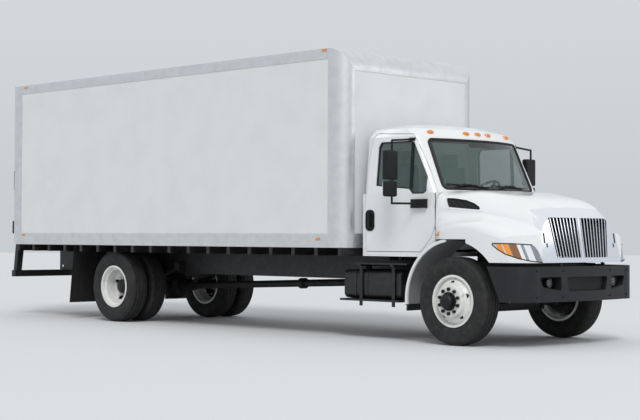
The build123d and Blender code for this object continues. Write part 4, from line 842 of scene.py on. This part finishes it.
linerArc = {"radius": 0.714, "metal": 0.004, "from": 42, "to": 98, "y": (0.56, 1.06), "steps": 24}
liners = []
for side in (1, -1):
    clearAll()
    bpy.ops.mesh.primitive_plane_add(size=1)
    liner = bpy.context.object
    shape = openMesh()
    inner, outer = linerArc["y"]
    under, over = linerArc["radius"], linerArc["radius"] + linerArc["metal"]
    start = math.radians(linerArc["from"])
    corners = [(under, inner), (under, outer), (over, outer), (over, inner)]
    for vert, (radius, across) in zip(shape.faces[:][0].verts, corners):
        vert.co = (frontAxleX + radius * math.cos(start), side * across, axleZ + radius * math.sin(start))
    bmesh.update_edit_mesh(liner.data)
    bpy.ops.mesh.spin(steps=linerArc["steps"], angle=math.radians(linerArc["to"] - linerArc["from"]),
                      center=(frontAxleX, 0, axleZ), axis=(0, 1, 0))
    closeMesh(outward=True)
    liners.append(liner)
settle(joined(liners), "fenderLiners", "hood", "black_plastic")

# wipers

wiper = {"sweeps": [(-0.72, -0.82, 1.905, -0.16, 1.872), (0.02, -0.08, 1.900, 0.60, 1.880)],
         "shares": (0.0, 0.35, 0.7, 1.0), "clear": 0.014, "blade": 0.0065,
         "bridge": 0.006, "bridgeOff": (0.008, 0, 0.012), "pivotZ": 1.862,
         "arm": 0.008, "armFoot": (0.010, 0.022), "armRise": (0, 0.05, 0.01), "armEnd": (0.012, 0, 0.016)}
parts = []
for pivot, startY, startZ, endY, endZ in wiper["sweeps"]:
    line = []
    for share in wiper["shares"]:
        place, out = fromFront("windshield", startY + (endY - startY) * share,
                               startZ + (endZ - startZ) * share)
        line.append(place + out * wiper["clear"])
    parts.append(tubeAlong(line, wiper["blade"]))
    parts.append(tubeAlong([p + Vector(wiper["bridgeOff"]) for p in line[1:3]], wiper["bridge"]))
    base, out = fromFront("windshield", pivot, wiper["pivotZ"])
    low, high = wiper["armFoot"]
    parts.append(tubeAlong([base + out * low, base + out * high + Vector(wiper["armRise"]),
                            (line[1] + line[2]) / 2 + Vector(wiper["armEnd"])], wiper["arm"]))
settle(joined(parts), "wipers", "chassis", "black_plastic")
print("glass ready")

# mirrors

mirrorGlass = {"x": (3.1725, 3.1815), "y": (1.287, 1.451), "z": [(1.972, 2.286), (1.768, 1.916)],
               "edge": 0.0028}
for side, label in bothSides:
    (backX, frontX), (innerY, outerY) = mirrorGlass["x"], mirrorGlass["y"]
    panes = [roundedBox((backX, side * innerY, low), (frontX, side * outerY, high), mirrorGlass["edge"])
             for low, high in mirrorGlass["z"]]
    settle(joined(panes), label + "MirrorGlass", label + "_door", "chrome_plate", finishes["silvered"])

# black screens at the back of the bumper's recesses, in a black darker than the black plastic: painted
# shade in the recesses

recessShape = {"middle": [(-0.405, 0.806), (0.405, 0.806), (0.367, 0.657), (-0.367, 0.657)],
               "end": [(0.507, 0.808), (0.850, 0.808), (0.794, 0.706), (0.507, 0.664)],
               "probeIn": 0.09, "probeZ": 0.76,
               "gap": 0.001, "metal": 0.004, "rim": 0.010, "depth": 0.002}
screens = []
for points in (recessShape["middle"], recessShape["end"],
               [(-y, z) for y, z in reversed(recessShape["end"])]):
    middleY = sum(y for y, z in points) / 4
    probeY = middleY - math.copysign(recessShape["probeIn"], middleY) if middleY else 0
    backX = fromFront("front_bumper", probeY, recessShape["probeZ"])[0].x
    clearAll()
    bpy.ops.mesh.primitive_circle_add(vertices=4, radius=0.1, fill_type="NGON")
    plate = bpy.context.object
    shape = openMesh()
    for vert, (y, z) in zip(shape.verts, points):
        vert.co = (backX + recessShape["gap"], y, z)
    bmesh.update_edit_mesh(plate.data)
    bpy.ops.mesh.extrude_region_move(TRANSFORM_OT_translate={"value": (recessShape["metal"], 0, 0)})
    bpy.ops.mesh.inset(thickness=recessShape["rim"])
    bpy.ops.transform.translate(value=(-recessShape["depth"], 0, 0))
    closeMesh(outward=True)
    screens.append(plate)
settle(joined(screens), "bumperScreens", "chassis", "black_plastic", finishes["recess"])

# lamps

fogLamp = {"y": 0.640, "z": 0.748, "out": 0.003,
           "lens": [(0.0, 0.010), (0.020, 0.009), (0.036, 0.005), (0.044, 0.0), (0.050, 0.002),
                    (0.052, -0.002), (0.052, -0.016), (0.0, -0.016)]}
lenses = []
for side in (1, -1):
    y, z = side * fogLamp["y"], fogLamp["z"]
    x = fromFront("front_bumper", y, z)[0].x + fogLamp["out"]
    lenses.append(spunShape(fogLamp["lens"], (x, y, z), 32, "X"))
settle(joined(lenses), "fogLenses", "chassis", "lamp_lens", finishes["fluted"])
sideLamp = {"x": (frontAxleX - 0.291, frontAxleX - 0.195), "z": (1.280, 1.343), "skin": (-0.006, 0.009),
            "probe": (frontAxleX - 0.243, 1.312), "edge": 0.006, "cutZ": 1.292, "cut": (-0.55, 0, 0.83)}
sideLamps = []
for side in (1, -1):
    x, z = sideLamp["probe"]
    y = touch("hood", (x, side * 3, z), (0, -side, 0))[0].y
    backX = sideLamp["x"][0]
    low, high = [(sideLamp["x"][i], y + sideLamp["skin"][i], sideLamp["z"][i]) for i in (0, 1)]
    lamp = roundedBox(low, high, sideLamp["edge"])
    openMesh()
    bpy.ops.mesh.bisect(plane_co=(backX, 0, sideLamp["cutZ"]), plane_no=sideLamp["cut"], use_fill=True,
                        clear_outer=True)
    closeMesh()
    sideLamps.append(lamp)
settle(joined(sideLamps), "fenderLamps", "hood", "amber_lens")
tailLamp = {"y": (1.2150, 1.2880), "probeY": 1.25, "proud": 0.009, "sunk": 0.004, "edge": 0.004,
            "z": [(1.312, 1.368, "ruby"), (1.374, 1.426, "ruby"), (1.432, 1.488, "amber_lens")]}
for low, high, finish in tailLamp["z"]:
    pair = []
    for side in (1, -1):
        x = touch("rear_fittings", (-9, side * tailLamp["probeY"], (low + high) / 2), (1, 0, 0))[0].x
        inner, outer = [side * y for y in tailLamp["y"]]
        pair.append(roundedBox((x - tailLamp["proud"], inner, low), (x + tailLamp["sunk"], outer, high),
                               tailLamp["edge"]))
    settle(joined(pair), "tailLens{:.0f}".format(low * 1000), "chassis", "amber_lens", finishes[finish])
print("lamps ready")

# roll-up door: a hinge at each joint of its sections, and the latch

doorHinge = {"sections": 6, "y": (-0.80, -0.27, 0.27, 0.80), "leaf": (0.030, 0.045, 0.004), "pin": 0.006,
             "sunk": 0.001, "edge": 0.0015}
doorLow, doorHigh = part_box("rear_door")
reach, rise, metal = doorHinge["leaf"]
pin = doorHinge["pin"]
hinge = joined([
    roundedBox((-reach, -rise, -doorHinge["sunk"]), (reach, rise, metal), doorHinge["edge"], 1),
    spunShape([(0.0, -reach), (pin, -reach), (pin, reach), (0.0, reach)], (0, 0, metal), 8, "X"),
])
spots = []
for section in range(1, doorHinge["sections"]):
    z = doorLow.z + (doorHigh.z - doorLow.z) * section / doorHinge["sections"]
    spots += [((doorLow.x, y, z), (-1, 0, 0)) for y in doorHinge["y"]]
settle(copyTo(hinge, spots), "doorHinges", "chassis", "mill_aluminium")
dropModel(hinge)
# the lever's and the bar's points: out from the door, y, and up from the plate's middle
doorLatch = {"z": 0.16, "plate": (0.075, 0.110, 0.006), "sunk": 0.001, "edge": 0.002,
             "boss": [(0.0, 0.001), (0.024, 0.001), (0.024, -0.018), (0.016, -0.024), (0.0, -0.024)],
             "bossAt": (0.006, 0.045, 0.02),
             "lever": [(0.022, 0.045, 0.02), (0.030, 0.02, 0.02), (0.030, -0.05, 0.02),
                       (0.030, -0.085, 0.005)],
             "leverRadius": 0.008, "bar": [(0.012, 0.0, -0.02), (0.012, 0.0, -0.14)], "barRadius": 0.010}
reach, rise, metal = doorLatch["plate"]
z = doorLow.z + doorLatch["z"]


def onDoor(out, y, up):
    return doorLow.x - out, y, z + up


plate = roundedBox(onDoor(metal, -reach, -rise), onDoor(-doorLatch["sunk"], reach, rise),
                   doorLatch["edge"])
boss = spunShape(doorLatch["boss"], onDoor(*doorLatch["bossAt"]), 20, "X")
lever = tubeAlong([onDoor(*point) for point in doorLatch["lever"]], doorLatch["leverRadius"])
bar = tubeAlong([onDoor(*point) for point in doorLatch["bar"]], doorLatch["barRadius"])
settle(joined([plate, boss, lever, bar]), "doorLatch", "chassis", "mill_aluminium",
       finishes["dark_steel"])

# fuel tank cap and bumper bolts

fuelCap = {"above": (frontAxleX - 1.62, -0.86, 3),
           "profile": [(0.0, 0.050), (0.030, 0.050), (0.040, 0.046), (0.043, 0.040), (0.043, 0.014),
                       (0.050, 0.012), (0.054, 0.004), (0.054, -0.010), (0.0, -0.010)]}
place = touch("fuel_tank", fuelCap["above"], (0, 0, -1))[0]
settle(spunShape(fuelCap["profile"], place, 28, "Z"), "fuelCap", "chassis", "black_plastic")
bumperBolts = [(y, z) for y in (0.47, 0.90) for z in (0.885, 0.585)]
spots = [fromFront("front_bumper", side * y, z) for side in (1, -1) for y, z in bumperBolts]
settle(copyTo(bolt, spots), "bumperBolts", "chassis", "cast_steel", finishes["dark_steel"])
dropModel(bolt)

# seats

# each pad: name, size, how far behind the seat's middle, height, lean in degrees and crown
seatPlan = {"x": 2.870, "y": 0.470,
            "pads": [("Cushion", (0.50, 0.49, 0.135), 0.0, 1.436, 0, 0.10),
                     ("Back", (0.125, 0.48, 0.70), 0.222, 1.835, -4, 0.18),
                     ("Head", (0.095, 0.26, 0.17), 0.262, 2.272, -4, 0.15)],
            "base": (0.18, 0.19), "baseZ": (1.086, 1.372), "baseEdge": 0.02}
padShape = {"round": 0.22, "cuts": 3, "stitchAt": 0.27, "stitchHalf": 0.03, "stitchDepth": 0.10}


def makePad(size, place, lean, crown):
    # padded cushion: a cube cut fine, swollen in the middle of each face and drawn in at its stitching
    clearAll()
    bpy.ops.mesh.primitive_cube_add(size=1)
    thing = bpy.context.object
    thing.scale = size
    bpy.ops.object.transform_apply(location=False, rotation=False, scale=True)
    openMesh()
    bpy.ops.mesh.bevel(offset=min(size) * padShape["round"], segments=3, affect="EDGES")
    pickAll()
    bpy.ops.mesh.subdivide(number_cuts=padShape["cuts"])
    shape = bmesh.from_edit_mesh(thing.data)
    thin = size.index(min(size))
    reach = size[1] * padShape["stitchHalf"]
    for vert in shape.verts:
        share = [max(0.0, 1 - (2 * c / s) ** 2) for c, s in zip(vert.co, size)]
        others = [share[i] for i in range(3) if i != thin]
        vert.co[thin] *= 1 + crown * others[0] * others[1]
        stitch = abs(abs(vert.co.y) - size[1] * padShape["stitchAt"])
        if stitch < reach:
            vert.co[thin] *= 1 - padShape["stitchDepth"] * (1 - stitch / reach)
    bmesh.update_edit_mesh(thing.data)
    closeMesh()
    smooth = thing.modifiers.new("smooth", "SUBSURF")
    smooth.levels = 1
    smooth.render_levels = 1
    bpy.ops.object.modifier_apply(modifier="smooth")
    thing.data.transform(Matrix.Translation(Vector(place)) @ Matrix.Rotation(lean, 4, "Y"))
    return thing


for side, label in ((1, "driver"), (-1, "passenger")):
    x, y = seatPlan["x"], side * seatPlan["y"]
    for kind, size, behind, z, lean, crown in seatPlan["pads"]:
        pad = makePad(size, (x - behind, y, z), math.radians(lean), crown)
        settle(pad, label + kind, "chassis", "seat_cloth", angle=60)
    (deep, wide), (low, high) = seatPlan["base"], seatPlan["baseZ"]
    base = roundedBox((x - deep, y - wide, low), (x + deep, y + wide, high), seatPlan["baseEdge"])
    settle(base, label + "SeatBase", "chassis", "black_plastic")
    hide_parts("seats")
print("seats ready")

# studio


def makeStudio():
    studio = {"floor": "#D9DBDC", "floorRadius": 90.0, "skyLow": "#CDD2D7", "sky": "#F4F6F8",
              "skyBand": (0.02, 0.55), "skyLevel": 0.75, "seenLevel": 0.95,
              "sunLevel": 1.35, "sunSoftness": 18.0, "sunTurn": (38, 22, 20),
              "boxes": [((16, -7, 9), 9.0, 3.0, 110.0), ((13, 8, 6), 5.0, 5.0, 90.0)], "aim": (4, 0, 1)}
    clearAll()
    bpy.ops.mesh.primitive_circle_add(vertices=96, radius=studio["floorRadius"], fill_type="NGON")
    floor = bpy.context.object
    floor.name = "studioFloor"
    floor.data.materials.append(startFinish("studioFloor", studio["floor"], 0.9)[0])
    world = bpy.data.worlds.new("studioSky")
    bpy.context.scene.world = world
    world.use_nodes = True
    tree = world.node_tree
    background = tree.nodes["Background"]
    way = addNode(tree, "TexCoord")["Generated"]
    split = addNode(tree, "SeparateXYZ", {"Vector": way})
    low, high = studio["skyBand"]
    rise = addNode(tree, "MapRange", {"Value": split["Z"], "From Min": low, "From Max": high})
    sky = addNode(tree, "Mix", {"Factor": rise["Result"], 6: hexColor(studio["skyLow"]),
                                7: hexColor(studio["sky"])}, data_type="RGBA")
    tree.links.new(sky[2], background.inputs["Color"])
    # camera, metal and glass see a paler background than the one that lights the truck
    path = addNode(tree, "LightPath")
    seen = path["Is Camera Ray"]
    for ray in ("Is Glossy Ray", "Is Transmission Ray"):
        seen = addNode(tree, "Math", {0: seen, 1: path[ray]}, operation="MAXIMUM")["Value"]
    level = addNode(tree, "MapRange",
                    {"Value": seen, "To Min": studio["skyLevel"], "To Max": studio["seenLevel"]})
    tree.links.new(level["Result"], background.inputs["Strength"])
    for place, width, height, power in studio["boxes"]:
        # soft boxes, which chrome and glass also mirror
        bpy.ops.object.light_add(type="AREA", location=place)
        box = bpy.context.object
        box.rotation_euler = (Vector(studio["aim"]) - Vector(place)).to_track_quat("-Z", "Y").to_euler()
        box.data.shape = "RECTANGLE"
        box.data.size = width
        box.data.size_y = height
        box.data.energy = power
    bpy.ops.object.light_add(type="SUN", rotation=[math.radians(a) for a in studio["sunTurn"]])
    sun = bpy.context.object.data
    sun.energy = studio["sunLevel"]
    sun.angle = math.radians(studio["sunSoftness"])


def makeCamera():
    view = {"place": (15.0054, -14.3004, 1.2667), "yaw": 2.3576, "pitch": 0.0183, "roll": 0.004,
            "lens": 82.16, "far": 300.0}
    yaw, pitch, roll = view["yaw"], view["pitch"], view["roll"]
    forward = Vector((math.cos(pitch) * math.cos(yaw), math.cos(pitch) * math.sin(yaw), math.sin(pitch)))
    level = forward.cross(Vector((0, 0, 1))).normalized()
    right = level * math.cos(roll) + level.cross(forward) * math.sin(roll)
    bpy.ops.object.camera_add(location=view["place"])
    camera = bpy.context.object
    camera.rotation_euler = Matrix((right, right.cross(forward), -forward)).transposed().to_euler()
    camera.data.lens = view["lens"]
    camera.data.clip_end = view["far"]
    bpy.context.scene.camera = camera


makeStudio()
makeCamera()
bpy.context.scene.view_settings.view_transform = "Standard"
print("studio ready")
